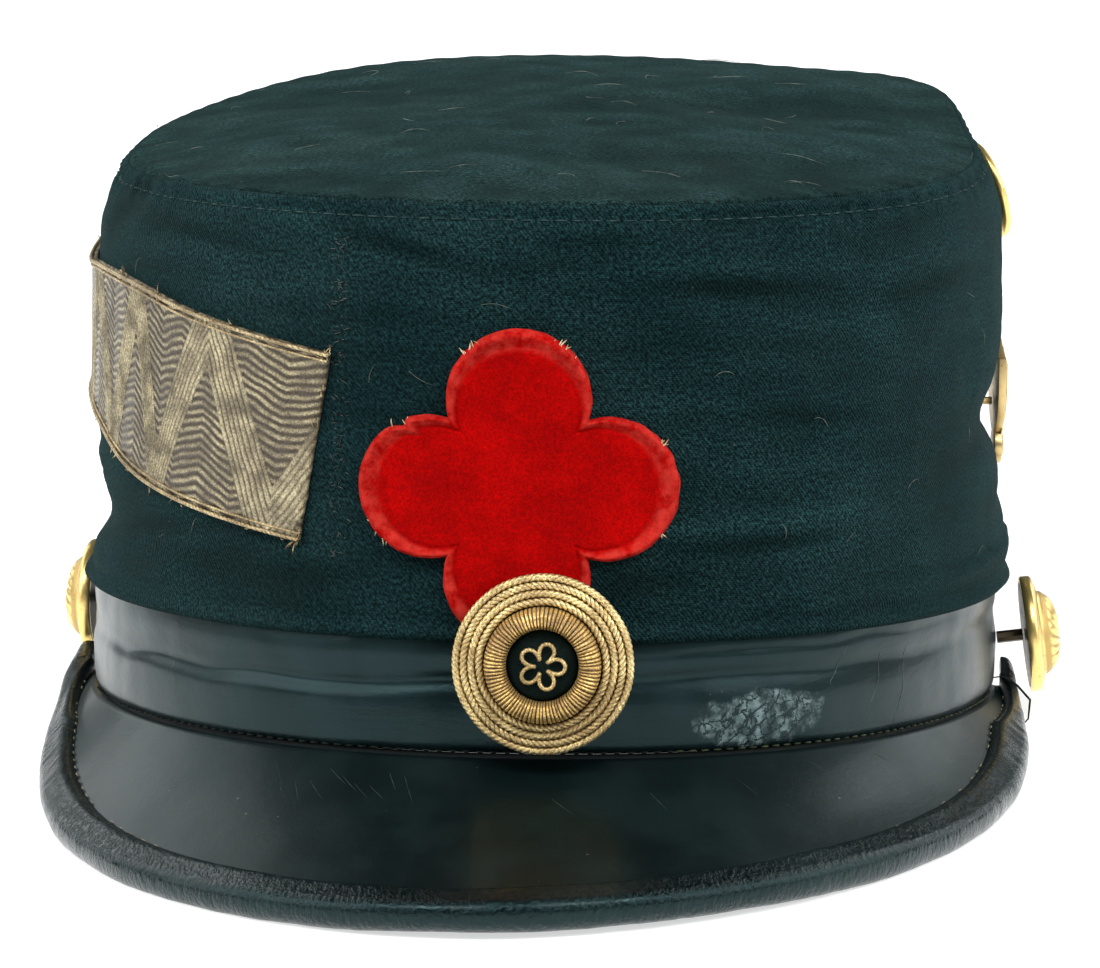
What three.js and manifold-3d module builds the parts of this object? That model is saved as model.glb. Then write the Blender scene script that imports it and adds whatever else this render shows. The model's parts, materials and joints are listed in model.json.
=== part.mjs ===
// A low cloth shako with a leather band and peak, standing on a table as it does when it is set down.
// Millimetres, +Z up. The front looks along -Y and the wearer's left side is on +X.
// Pieces are modelled in the shako's own upright frame, whose origin is the middle of the band's lower edge,
// and the whole is then tipped until it rests steadily on the peak's edge and the rear of the band.

import * as THREE from "three";
import { mergeVertices } from "three/addons/utils/BufferGeometryUtils.js";
import Module from "manifold-3d";

const wasm = await Module();
wasm.setup();
const rad = THREE.MathUtils.degToRad;

// Driving dimensions, in millimetres and degrees
const HEAD_HALF_WIDTH = 82; // inside of the band, side to side
const HEAD_HALF_DEPTH = 99.4; // inside of the band, front to rear
const OVAL_SQUARENESS = 2.12; // 2 is an ellipse
const GAP = 0.3; // between pieces that touch

const BAND_THICKNESS = 2.2;
const BAND_HEIGHT = 22.2;
const BAND_RELIEF = 0.9; // how far the leather swells

const CLOTH_THICKNESS = 2;
const HEM_OVERLAP = 2.2; // how far the hem hangs over the band
const HEM_THICKNESS = 1.2;
const WALL_RELIEF = 5; // how deep the cloth's folds reach
const EDGE_FRONT_HEIGHT = 95.2; // crown edge above the band's lower edge
const EDGE_REAR_HEIGHT = 109.5;
const EDGE_SIDE_DROOP = 3.4; // the crown edge sags at the sides
const TOP_DOME = 4.2; // rise of the top panel above its edge
const TOP_RELIEF = 1.6; // how deep the top panel's waves reach

const PEAK_THICKNESS = 2;
const PEAK_LENGTH = 45.5; // forward reach at the middle
const PEAK_DROP = 20.2; // how far the edge falls at the middle
const PEAK_HOLLOW = 1.8; // how far the surface sags between band and edge
const PEAK_END_ANGLE = 90; // the ends, from straight ahead
const PEAK_SKEW = 3.4; // the wearer's right corner hangs lower by this over the half width
const PEAK_ENDS = {
  left: { reach: 2, fall: 1.8 },
  right: { reach: 3.8, fall: 2.1 },
}; // reach at its two ends, and how fast the reach falls off towards them
const BINDING_LIP = 6.6; // width of the leather folded over the peak's edge
const BINDING_SWELL = 1.9; // thickness of that leather
const BINDING_NOSE = 2.7; // how far it rounds past the edge
const BINDING_END_CLEARANCE = 1.2; // from the band, where the peak is narrower than that leather
const BINDING_TAIL_ANGLE = 6; // how far the ends run on past the peak
const BINDING_TAIL_RISE = 2.6; // and how far they rise up the band

const ORNAMENT_HALF_SPAN = 28.4;
const ORNAMENT_LOBE_RADIUS = 12.8;
const ORNAMENT_THICKNESS = 1.8;
const ORNAMENT_SIDEWAYS = 0.7;
const ORNAMENT_HEIGHT = 47.4; // its middle, above the band's lower edge

const COCKADE_RADIUS = 16;
const COCKADE_BACK_THICKNESS = 1.5;
const COCKADE_CORD_DIAMETER = 1.1;
const COCKADE_CORDS = 4;
const COCKADE_DISH_RISE = 1.5; // the cords climb this much towards the ray ring
const RAY_RING_THICKNESS = 3.9;
const RAY_RING_HOLE = 6.4;
const RAY_COUNT = 20;
const KNOT_RADIUS = 3.5;
const KNOT_WIRE = 0.75;
const COCKADE_HEIGHT = 17;
const COCKADE_SIDEWAYS = 5.6; // towards the wearer's left

const LACE_THICKNESS = 0.8;
const LACE_FRONT_SLANT = 3.5; // its front end runs back towards its lower edge, in degrees

const BUTTON_RADIUS = 11;
const BUTTON_RIM = 1.5;
const BUTTON_DOME = 5;
const BUTTON_DOME_RADIUS = 8.1;
const BUTTON_SHELL = 0.8;
const BUTTON_BACK = 0.9;
const SHANK_WIDTH = 2.3;

// The side buttons: angle, height above the band's lower edge, gap between the leather and the back plate,
// and how far the face looks up in degrees
const BUTTON_SEATS = {
  left: { angle: 95, height: 8.4, standOff: 4.2, lift: 7 },
  right: { angle: -102, height: 11.2, standOff: 3, lift: 0 },
};

const DISC_BADGE_RADIUS = 9.6;
const DISC_BADGE_THICKNESS = 1;
const DISC_BADGE_ANGLE = 122;
const DISC_BADGE_SHARE = 0.8; // height on the wall
const DISC_BADGE_LEAN = 18;
const SHIELD_BADGE_WIDTH = 15;
const SHIELD_BADGE_HEIGHT = 24;
const SHIELD_BADGE_THICKNESS = 1.4;
const SHIELD_BADGE_ANGLE = 107;
const SHIELD_BADGE_SHARE = 0.38;
const BADGE_STAND_OFF = 1; // clear of the wall's fullest part under it
const BADGE_PIN = 1.5;

const SETTLE = 0.8; // leather pressed flat where it rests
const SINK = 0.9; // how far a fitted piece reaches into the wall before it is cut to fit

const RING_STEPS = 56;
const PEAK_STEPS = 32;
const BINDING_STEPS = 38;
const LACE_STEPS = 18;
const ORNAMENT_STEPS = 32;
const ROUND_STEPS = 20;
const CORD_STEPS = 24;
const CORD_SIDES = 5;

// Outline of the cloth wall: height as a share of the wall, swell as a share of WALL_RELIEF
const WALL_SECTIONS = [
  { height: 0.012, swell: 0.14 },
  { height: 0.04, swell: -0.06 },
  { height: 0.08, swell: 0.06 },
  { height: 0.14, swell: 0 },
  { height: 0.22, swell: -0.14 },
  { height: 0.32, swell: -0.2 },
  { height: 0.4, swell: -0.2 },
  { height: 0.48, swell: -0.2 },
  { height: 0.62, swell: -0.17 },
  { height: 0.76, swell: -0.14 },
  { height: 0.88, swell: -0.2 },
  { height: 0.94, swell: -0.42 },
  { height: 0.98, swell: -0.64 },
  { height: 1, swell: -0.86 },
];
const INNER_HEIGHTS = [0.92, 0.76, 0.62, 0.48, 0.4, 0.32, 0.22, 0.14];

// How the crown's upper edge leaves its oval: angle and half size in degrees, millimetres out and up
const EDGE_CORNERS = [
  { angle: 133, wide: 16, out: 4.5, up: 2 },
  { angle: 104, wide: 18, out: -1.8, up: 0.4 },
  { angle: -128, wide: 22, out: 0.6, up: -2 },
  { angle: -96, wide: 30, out: -2, up: -2 },
];

// Dents (depth above 0) and swellings (below 0) of the wall: middle, half sizes, slant in height share a degree,
// heights as shares of the wall, depths as shares of WALL_RELIEF
const WALL_FOLDS = [
  { angle: 99, height: 0.41, wide: 22, tall: 0.085, slant: 0, depth: 0.95 },
  { angle: 62, height: 0.5, wide: 24, tall: 0.05, slant: -0.003, depth: 0.16 },
  { angle: -86, height: 0.16, wide: 30, tall: 0.08, slant: 0.001, depth: 0.85 },
  { angle: -88, height: 0.6, wide: 26, tall: 0.2, slant: 0, depth: 0.12 },
  { angle: -92, height: 0.17, wide: 24, tall: 0.02, slant: 0.001, depth: -0.14 },
  { angle: -92, height: 0.32, wide: 22, tall: 0.05, slant: 0.002, depth: 0.2 },
  { angle: -27, height: 0.88, wide: 16, tall: 0.028, slant: -0.0022, depth: 0.22 },
  { angle: 34, height: 0.76, wide: 20, tall: 0.05, slant: -0.001, depth: 0.2 },
  { angle: 60, height: 0.66, wide: 18, tall: 0.06, slant: 0.002, depth: 0.16 },
  { angle: 88, height: 0.19, wide: 20, tall: 0.035, slant: 0.002, depth: 0.16 },
  { angle: 52, height: 0.07, wide: 34, tall: 0.022, slant: 0.0009, depth: -0.18 },
  { angle: 150, height: 0.35, wide: 26, tall: 0.12, slant: 0.001, depth: 0.3 },
  { angle: -152, height: 0.52, wide: 30, tall: 0.14, slant: -0.001, depth: 0.3 },
];

// Waves of the top panel: middle as shares of its half width and half depth, half sizes in the same shares,
// turn in degrees, depths as shares of TOP_RELIEF
const TOP_FOLDS = [
  { across: -0.12, along: -0.72, wide: 0.34, deep: 0.1, turn: -7, depth: -0.8 },
  { across: -0.42, along: -0.74, wide: 0.24, deep: 0.12, turn: 12, depth: 0.7 },
  { across: 0.36, along: -0.66, wide: 0.5, deep: 0.16, turn: 4, depth: 0.5 },
  { across: 0.45, along: 0.1, wide: 0.5, deep: 0.14, turn: 24, depth: 0.6 },
  { across: -0.4, along: 0.3, wide: 0.45, deep: 0.2, turn: -18, depth: 0.5 },
  { across: 0.62, along: -0.3, wide: 0.3, deep: 0.12, turn: 35, depth: -0.5 },
];

// Outline of the band: height as a share of BAND_HEIGHT, swell as a share of BAND_RELIEF
const BAND_SECTIONS = [
  { height: 0, swell: 0.5 },
  { height: 0.16, swell: 0.9 },
  { height: 0.4, swell: 1 },
  { height: 0.6, swell: 0.35 },
  { height: 0.78, swell: 0.7 },
  { height: 1, swell: 0 },
];

// Edges of the lace: angle from straight ahead, heights as shares of the wall
const LACE_SECTIONS = [
  { angle: -19, low: 0.215, high: 0.668 },
  { angle: -38, low: 0.275, high: 0.74 },
  { angle: -50, low: 0.325, high: 0.785 },
  { angle: -64, low: 0.41, high: 0.8 },
  { angle: -82, low: 0.465, high: 0.79 },
  { angle: -128, low: 0.5, high: 0.84 },
];

// Outline of the shield badge, clockwise from its top: across and up as shares of its half width and height
const SHIELD_OUTLINE = [
  { across: 0, up: 0.5 },
  { across: 0.5, up: 0.4 },
  { across: 1, up: 0.36 },
  { across: 0.95, up: 0.05 },
  { across: 0.6, up: -0.16 },
  { across: 0.26, up: -0.24 },
  { across: 0.46, up: -0.34 },
  { across: 0.3, up: -0.46 },
  { across: 0, up: -0.5 },
];

/** A value read from a table of rows by straight interpolation. */
function readTable(rows, at, input, output) {
  const last = rows.length - 1;
  if (at <= rows[0][input]) return rows[0][output];
  if (at >= rows[last][input]) return rows[last][output];
  const upper = rows.findIndex((row) => row[input] >= at);
  const [a, b] = [rows[upper - 1], rows[upper]];
  return THREE.MathUtils.lerp(a[output], b[output], (at - a[input]) / (b[input] - a[input]));
}

/** Distance from the middle to an oval, in the direction of an angle from straight ahead. */
function ovalRadius(angle, halfWidth, halfDepth) {
  const across = Math.abs(Math.sin(angle)) / halfWidth;
  const along = Math.abs(Math.cos(angle)) / halfDepth;
  return (across ** OVAL_SQUARENESS + along ** OVAL_SQUARENESS) ** (-1 / OVAL_SQUARENESS);
}

/** The point at an angle from straight ahead, a distance from the middle and a height. */
const polar = (angle, radius, height) =>
  new THREE.Vector3(radius * Math.sin(angle), -radius * Math.cos(angle), height);

const bandInnerRadius = (angle) => ovalRadius(angle, HEAD_HALF_WIDTH, HEAD_HALF_DEPTH);

/** Outer radius of the band at a share of its height. */
function bandRadius(angle, share) {
  const swell = BAND_RELIEF * readTable(BAND_SECTIONS, share, "height", "swell");
  return bandInnerRadius(angle) + BAND_THICKNESS + swell;
}

const hemHeight = BAND_HEIGHT - HEM_OVERLAP;
const hemInnerRadius = (angle) => bandRadius(angle, hemHeight / BAND_HEIGHT) + GAP;

/** How far an angle lies from another, both in degrees, the short way round. */
const degreesFrom = (degrees, middle) =>
  THREE.MathUtils.euclideanModulo(degrees - middle + 180, 360) - 180;

/** How far the crown's edge leaves its oval at an angle, "out" or "up". */
function cornerShift(angle, way) {
  const degrees = THREE.MathUtils.radToDeg(angle);
  return EDGE_CORNERS.reduce(
    (sum, row) => sum + row[way] * Math.exp(-((degreesFrom(degrees, row.angle) / row.wide) ** 2)),
    0,
  );
}

/** Height of the crown's edge at an angle. */
function edgeHeight(angle) {
  const rearward = (1 - Math.cos(angle)) / 2;
  const slope = THREE.MathUtils.lerp(EDGE_FRONT_HEIGHT, EDGE_REAR_HEIGHT, rearward);
  return slope - EDGE_SIDE_DROOP * Math.sin(angle) ** 2 + cornerShift(angle, "up");
}

const wallHeight = (angle, share) => THREE.MathUtils.lerp(hemHeight, edgeHeight(angle), share);

/** How far the folds press the wall in at an angle and height share. */
function foldDepth(angle, share) {
  const degrees = THREE.MathUtils.radToDeg(angle);
  let depth = 0;
  for (const fold of WALL_FOLDS) {
    const aside = degreesFrom(degrees, fold.angle);
    const above = share - fold.height - fold.slant * aside;
    depth += fold.depth * Math.exp(-((aside / fold.wide) ** 2) - (above / fold.tall) ** 2);
  }
  return WALL_RELIEF * depth;
}

/** Outer radius of the cloth wall at an angle and height share. */
function wallRadius(angle, share) {
  const swell = WALL_RELIEF * readTable(WALL_SECTIONS, share, "height", "swell");
  const corner = cornerShift(angle, "out") * share ** 4;
  return hemInnerRadius(angle) + HEM_THICKNESS + swell + corner - foldDepth(angle, share);
}

/** A point on the wall's outer face, or clear of it by an offset. */
const onWall = (angle, share, offset = 0) =>
  polar(angle, wallRadius(angle, share) + offset, wallHeight(angle, share));

/** The share of the wall's height that lies at a height. */
const wallShare = (angle, height) => (height - hemHeight) / (edgeHeight(angle) - hemHeight);

/** Direction straight out of the wall, level, at an angle. */
function wallNormal(angle) {
  const step = rad(1);
  const middle = wallShare(angle, (hemHeight + edgeHeight(angle)) / 2);
  const tangent = onWall(angle + step, middle).sub(onWall(angle - step, middle));
  return new THREE.Vector3(tangent.y, -tangent.x, 0).normalize();
}

/** A geometry from points and triangles, turned so that its faces point out. */
function solidGeometry(points, faces) {
  const volume = faces.reduce(
    (sum, [a, b, c]) => sum + points[a].dot(points[b].clone().cross(points[c])),
    0,
  );
  const outward = volume < 0 ? faces.map(([a, b, c]) => [a, c, b]) : faces;
  const geometry = new THREE.BufferGeometry().setFromPoints(points);
  geometry.setIndex(outward.flat());
  return geometry;
}

/** Triangles that close a loop of points, by their indices in that loop. */
function capFaces(loop) {
  const normal = new THREE.Vector3();
  loop.forEach((p, i) => normal.add(p.clone().cross(loop[(i + 1) % loop.length])));
  normal.normalize();
  const side = loop[1].clone().sub(loop[0]).cross(normal).normalize();
  const up = normal.clone().cross(side);
  const flat = loop.map((p) => new THREE.Vector2(p.dot(side), p.dot(up)));
  return THREE.ShapeUtils.triangulateShape(flat, []);
}

/** A closed solid over a row of closed loops with equally many points, ring-shaped if the last meets the first. */
function loft(loops, isRing) {
  const size = loops[0].length;
  const faces = [];
  const spans = isRing ? loops.length : loops.length - 1;
  for (let i = 0; i < spans; i += 1) {
    const here = i * size;
    const next = ((i + 1) % loops.length) * size;
    for (let j = 0; j < size; j += 1) {
      const k = (j + 1) % size;
      faces.push([here + j, here + k, next + k], [here + j, next + k, next + j]);
    }
  }
  if (!isRing) {
    const end = (loops.length - 1) * size;
    capFaces(loops[0]).forEach(([a, b, c]) => faces.push([a, c, b]));
    capFaces(loops.at(-1)).forEach(([a, b, c]) => faces.push([end + a, end + b, end + c]));
  }
  return solidGeometry(loops.flat(), faces);
}

/** A list of values from a function of 0 to 1, both ends included. */
const spread = (steps, make) => Array.from({ length: steps + 1 }, (_, i) => make(i / steps));

/** Loops of a ring-shaped piece, one for each angle all the way round. */
const aroundHead = (section) =>
  Array.from({ length: RING_STEPS }, (_, i) => section((i / RING_STEPS) * 2 * Math.PI));

/** The leather band, open above and below. */
function bandGeometry() {
  const section = (angle) => [
    ...BAND_SECTIONS.map(({ height }) =>
      polar(angle, bandRadius(angle, height), BAND_HEIGHT * height),
    ),
    polar(angle, bandInnerRadius(angle), BAND_HEIGHT),
    polar(angle, bandInnerRadius(angle), 0),
  ];
  return loft(aroundHead(section), true);
}

/** The cloth wall, from the hem over the band to the crown's edge, or that wall grown outwards. */
function wallGeometry(growth = 0) {
  const section = (angle) => {
    const outer = WALL_SECTIONS.map(({ height }) => onWall(angle, height, growth));
    const inner = INNER_HEIGHTS.map((height) => onWall(angle, height, -CLOTH_THICKNESS));
    const foot = BAND_HEIGHT + GAP;
    return [
      polar(angle, wallRadius(angle, 0) + growth, hemHeight),
      ...outer,
      onWall(angle, 1, -CLOTH_THICKNESS),
      ...inner,
      polar(angle, bandInnerRadius(angle) + GAP, foot),
      polar(angle, hemInnerRadius(angle), foot),
      polar(angle, hemInnerRadius(angle), hemHeight),
    ];
  };
  return loft(aroundHead(section), true);
}

/** How far the top panel's waves press it down at a point given as shares of its half sizes. */
function topFoldDepth(across, along) {
  let depth = 0;
  for (const fold of TOP_FOLDS) {
    const turned = new THREE.Vector2(across - fold.across, along - fold.along);
    turned.rotateAround(new THREE.Vector2(), rad(-fold.turn));
    depth += fold.depth * Math.exp(-((turned.x / fold.wide) ** 2) - (turned.y / fold.deep) ** 2);
  }
  return TOP_RELIEF * depth;
}

/** A point of the top panel: share of the way from its middle to its edge, and a drop below its upper face. */
function onTop(angle, share, drop) {
  const seat = edgeHeight(angle) + GAP + CLOTH_THICKNESS;
  const middle = (EDGE_FRONT_HEIGHT + EDGE_REAR_HEIGHT) / 2 + GAP + CLOTH_THICKNESS;
  const droop = EDGE_SIDE_DROOP * Math.sin(angle) ** 2;
  const slope = middle + (seat + droop - middle) * share;
  const waves = topFoldDepth(share * Math.sin(angle), -share * Math.cos(angle)) * (1 - share ** 8);
  const rise = TOP_DOME * (1 - share ** 2) - droop * share ** 2 - waves;
  return polar(angle, wallRadius(angle, 1) * share, slope + rise - drop);
}

/** The top panel, which lies on the wall's upper edge. */
function topGeometry() {
  const ring = (share, drop) => aroundHead((angle) => onTop(angle, share, drop));
  return loft(
    [
      ring(0.14, 0),
      ring(0.36, 0),
      ring(0.56, 0),
      ring(0.74, 0),
      ring(0.88, 0),
      ring(0.975, 0),
      ring(1, CLOTH_THICKNESS * 0.6),
      ring(1, CLOTH_THICKNESS),
      ring(0.955, CLOTH_THICKNESS),
      ring(0.56, CLOTH_THICKNESS),
      ring(0.14, CLOTH_THICKNESS),
    ],
    false,
  );
}

const peakEnd = rad(PEAK_END_ANGLE);

/** How far the peak reaches out at an angle. */
function peakReach(angle) {
  const share = Math.min(Math.abs(angle) / peakEnd, 1);
  const { reach, fall } = angle > 0 ? PEAK_ENDS.left : PEAK_ENDS.right;
  return THREE.MathUtils.lerp(reach, PEAK_LENGTH, (1 - share ** 1.5) ** fall);
}

/** The peak's edge, on the middle of its thickness. */
function peakEdge(angle) {
  const share = angle / peakEnd;
  const radius = bandRadius(angle, 0) + peakReach(angle);
  const skew = (PEAK_SKEW * radius * Math.sin(angle)) / HEAD_HALF_WIDTH;
  const height = -GAP - PEAK_THICKNESS / 2 - PEAK_DROP * (1 - share ** 2);
  return { radius, height: height + skew * (1 - share ** 2) };
}

/** Direction from the band to the peak's edge at an angle, across and up. */
function peakSlope(angle) {
  const edge = peakEdge(angle);
  const rise = edge.height + GAP + PEAK_THICKNESS / 2;
  return new THREE.Vector2(peakReach(angle), rise).normalize();
}

const peakRootHeight = -GAP - PEAK_THICKNESS / 2;

/** A point of the peak: share of the way from the band to its edge, and a lift off its middle layer. */
function onPeak(angle, share, lift) {
  const root = bandRadius(angle, 0);
  const edge = peakEdge(angle);
  const slope = peakSlope(angle);
  const hollow = PEAK_HOLLOW * Math.sin(Math.PI * share) * (peakReach(angle) / PEAK_LENGTH);
  const radius = THREE.MathUtils.lerp(root, edge.radius, share) - slope.y * (lift - hollow);
  const height = THREE.MathUtils.lerp(peakRootHeight, edge.height, share);
  return polar(angle, radius, height + slope.x * (lift - hollow));
}

/** The share of the way past the peak's edge that a distance along its slope makes. */
const peakShare = (angle, along) =>
  1 + along / Math.hypot(peakReach(angle), peakEdge(angle).height - peakRootHeight);

/** The peak, whose inner border lies under the band, or that peak grown on all sides. */
function peakGeometry(growth = 0) {
  const half = PEAK_THICKNESS / 2 + growth;
  const section = (angle) => {
    const root = bandInnerRadius(angle) + GAP;
    const underBand = bandRadius(angle, 0) - half;
    const tip = peakShare(angle, growth);
    return [
      polar(angle, root, peakRootHeight + half),
      polar(angle, underBand, peakRootHeight + half),
      ...[0.12, 0.34, 0.56, 0.78, tip].map((share) => onPeak(angle, share, half)),
      ...[tip, 0.67, 0.34, 0.06].map((share) => onPeak(angle, share, -half)),
      polar(angle, root, peakRootHeight - half),
    ];
  };
  const turns = spread(PEAK_STEPS, (t) => (2 * t - 1) * peakEnd);
  const past = peakEnd + growth / HEAD_HALF_WIDTH;
  return loft((growth ? [-past, ...turns, past] : turns).map(section), false);
}

/** The outline of the binding's section: distances past the peak's edge along its slope, and off its middle. */
function bindingSection(lip) {
  const slot = PEAK_THICKNESS / 2 + GAP;
  const face = slot + BINDING_SWELL;
  const upper = [
    [-lip, slot - GAP],
    [-lip - 0.1 * BINDING_SWELL, slot + 0.55 * BINDING_SWELL],
    [-0.55 * lip, face],
    [0, face],
    [0.72 * BINDING_NOSE, 0.62 * face],
  ];
  const lower = upper.map(([along, off]) => [along, -off]).reverse();
  return [...upper, [BINDING_NOSE, 0], ...lower];
}

/** The binding along the peak's edge, with its two ends running up the band, before it is cut to fit. */
function bindingGeometry() {
  const tail = rad(BINDING_TAIL_ANGLE);
  const station = (t) => {
    const turn = (2 * t - 1) * (peakEnd + tail);
    const angle = THREE.MathUtils.clamp(turn, -peakEnd, peakEnd);
    const past = (Math.abs(turn) - Math.abs(angle)) / tail;
    const lip = Math.min(BINDING_LIP, peakReach(angle) - BINDING_END_CLEARANCE);
    const slim = 1 - 0.25 * past;
    return bindingSection(lip).map(([along, off]) => {
      const point = onPeak(angle, peakShare(angle, along * slim), off * slim);
      const radius = Math.hypot(point.x, point.y) + bandRadius(turn, 0) - bandRadius(angle, 0);
      return polar(turn, radius, point.z + BINDING_TAIL_RISE * past);
    });
  };
  return loft(spread(BINDING_STEPS, station), false);
}

/** Distance from the middle to the edge of the four-lobed ornament, at a direction. */
function ornamentRadius(direction) {
  const lobe = THREE.MathUtils.euclideanModulo(direction + Math.PI / 4, Math.PI / 2) - Math.PI / 4;
  const offset = ORNAMENT_HALF_SPAN - ORNAMENT_LOBE_RADIUS;
  const across = Math.sqrt(ORNAMENT_LOBE_RADIUS ** 2 - (offset * Math.sin(lobe)) ** 2);
  return offset * Math.cos(lobe) + across;
}

/** The point of the wall at a distance sideways from straight ahead and a height, clear of it by an offset. */
function onFront(sideways, height, offset) {
  const angle = Math.asin(sideways / (HEAD_HALF_DEPTH + BAND_THICKNESS));
  return onWall(angle, wallShare(angle, height), offset);
}

/** The velvet ornament, which follows the front of the wall. */
function ornamentGeometry() {
  const ring = (share, offset) =>
    Array.from({ length: ORNAMENT_STEPS }, (_, i) => {
      const direction = (i / ORNAMENT_STEPS) * 2 * Math.PI;
      const reach = ornamentRadius(direction) * share;
      const height = ORNAMENT_HEIGHT + reach * Math.sin(direction);
      return onFront(ORNAMENT_SIDEWAYS + reach * Math.cos(direction), height, offset);
    });
  return loft(
    [
      ring(0.2, GAP + 0.8 * ORNAMENT_THICKNESS),
      ring(0.6, GAP + 0.85 * ORNAMENT_THICKNESS),
      ring(0.93, GAP + ORNAMENT_THICKNESS),
      ring(1, GAP + 0.55 * ORNAMENT_THICKNESS),
      ring(0.97, -SINK),
      ring(0.6, -SINK),
      ring(0.2, -SINK),
    ],
    false,
  );
}

/** The metal lace along the wearer's right side. */
function laceGeometry() {
  const section = (along) => {
    const row = along * (LACE_SECTIONS.length - 1);
    const rows = LACE_SECTIONS.map((values, index) => ({ index, ...values }));
    const [angle, low, high] = ["angle", "low", "high"].map((key) => readTable(rows, row, "index", key));
    const point = (t, offset) => {
      const slant = LACE_FRONT_SLANT * (1 - t) * (1 - along);
      return onWall(rad(angle - slant), THREE.MathUtils.lerp(low, high, t), offset);
    };
    const steps = spread(4, (t) => t);
    return [
      ...steps.map((t) => point(t, GAP + LACE_THICKNESS)),
      ...steps.map((t) => point(1 - t, -SINK)),
    ];
  };
  return loft(spread(LACE_STEPS, section), false);
}

/** A round solid about its own Z axis, from a profile of distance and height pairs that ends on the axis. */
function turned(profile, steps = ROUND_STEPS) {
  const points = profile.map(([distance, height]) => new THREE.Vector2(distance, height));
  const made = new THREE.LatheGeometry(points, steps).rotateX(Math.PI / 2);
  made.deleteAttribute("normal");
  made.deleteAttribute("uv");
  const merged = mergeVertices(made, 1e-4);
  const position = merged.getAttribute("position");
  const corners = Array.from({ length: position.count }, (_, i) =>
    new THREE.Vector3().fromBufferAttribute(position, i),
  );
  const faces = [];
  for (let i = 0; i < merged.index.count; i += 3) {
    const face = [merged.index.getX(i), merged.index.getX(i + 1), merged.index.getX(i + 2)];
    if (new Set(face).size === 3) faces.push(face);
  }
  return solidGeometry(corners, faces);
}

const cordRadius = COCKADE_CORD_DIAMETER / 2;
const cordPitch = COCKADE_CORD_DIAMETER + GAP;
const outerCordRadius = COCKADE_RADIUS - cordRadius;
const rayRingRadius = outerCordRadius - (COCKADE_CORDS - 1) * cordPitch - cordRadius - GAP;
const dishEdge = rayRingRadius / COCKADE_RADIUS;

/** Height of the cockade's backing at a distance from its middle. */
function dishHeight(distance) {
  const inward = (COCKADE_RADIUS - distance) / (COCKADE_RADIUS - rayRingRadius);
  return COCKADE_BACK_THICKNESS + COCKADE_DISH_RISE * THREE.MathUtils.clamp(inward, 0, 1);
}

/** The cockade's backing: a disc that climbs to the ray ring. */
function cockadeBackGeometry() {
  const rim = COCKADE_RADIUS - cordRadius * 0.4;
  return turned([
    [0, 0],
    [rim, 0],
    [rim, dishHeight(rim) - 0.2],
    [COCKADE_RADIUS * dishEdge, dishHeight(rayRingRadius)],
    [0, dishHeight(0)],
  ]);
}

/** One of the cockade's cords, counted from the outside. */
function cordGeometry(index) {
  const radius = outerCordRadius - index * cordPitch;
  const slope = Math.atan2(COCKADE_DISH_RISE, COCKADE_RADIUS - rayRingRadius);
  const made = new THREE.TorusGeometry(radius, cordRadius, CORD_SIDES, CORD_STEPS);
  const lift = (cordRadius + GAP) / Math.cos(slope);
  return made.translate(0, 0, dishHeight(radius) + lift);
}

/** The ring of bullion rays: a round ring whose surface rises at each ray. */
function rayRingGeometry() {
  const tube = (rayRingRadius - RAY_RING_HOLE) / 2;
  const middle = RAY_RING_HOLE + tube;
  const base = dishHeight(0) + GAP;
  const loops = Array.from({ length: 2 * RAY_COUNT }, (_, i) => {
    const angle = (i / (2 * RAY_COUNT)) * 2 * Math.PI;
    const rise = RAY_RING_THICKNESS * (i % 2 ? 0.88 : 1);
    return [
      [-tube, 0],
      [tube, 0],
      [tube, 0.3 * rise],
      [0.55 * tube, 0.84 * rise],
      [-0.1 * tube, rise],
      [-0.8 * tube, 0.72 * rise],
    ].map(([out, up]) => {
      const distance = middle + out;
      return new THREE.Vector3(distance * Math.cos(angle), distance * Math.sin(angle), base + up);
    });
  });
  return loft(loops, true);
}

const velvetDiscTop = dishHeight(0) + GAP + 0.3 * RAY_RING_THICKNESS;

/** The velvet disc in the middle of the ray ring. */
function velvetDiscGeometry() {
  const radius = RAY_RING_HOLE - GAP;
  const bottom = dishHeight(0) + GAP;
  const crown = velvetDiscTop + 0.1 * RAY_RING_THICKNESS;
  return turned([
    [0, bottom],
    [radius, bottom],
    [radius, velvetDiscTop - 0.1 * RAY_RING_THICKNESS],
    [0.7 * radius, crown],
    [0, crown],
  ]);
}

/** A plain wire knot of five loops on the velvet disc. */
function knotGeometry() {
  const steps = 40;
  const half = KNOT_WIRE / 2;
  const height = velvetDiscTop + 0.1 * RAY_RING_THICKNESS + GAP + half;
  const centre = (t) => {
    const angle = 2 * Math.PI * t;
    const distance = KNOT_RADIUS * (0.66 + 0.34 * Math.cos(5 * angle));
    return new THREE.Vector3(distance * Math.cos(angle), distance * Math.sin(angle), height);
  };
  const loops = Array.from({ length: steps }, (_, i) => {
    const here = centre(i / steps);
    const forward = centre((i + 0.5) / steps).sub(centre((i - 0.5) / steps)).normalize();
    const side = new THREE.Vector3(forward.y, -forward.x, 0).multiplyScalar(half);
    const up = new THREE.Vector3(0, 0, half);
    return [
      here.clone().add(side),
      here.clone().add(up),
      here.clone().sub(side),
      here.clone().sub(up),
    ];
  });
  return loft(loops, true);
}

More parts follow.
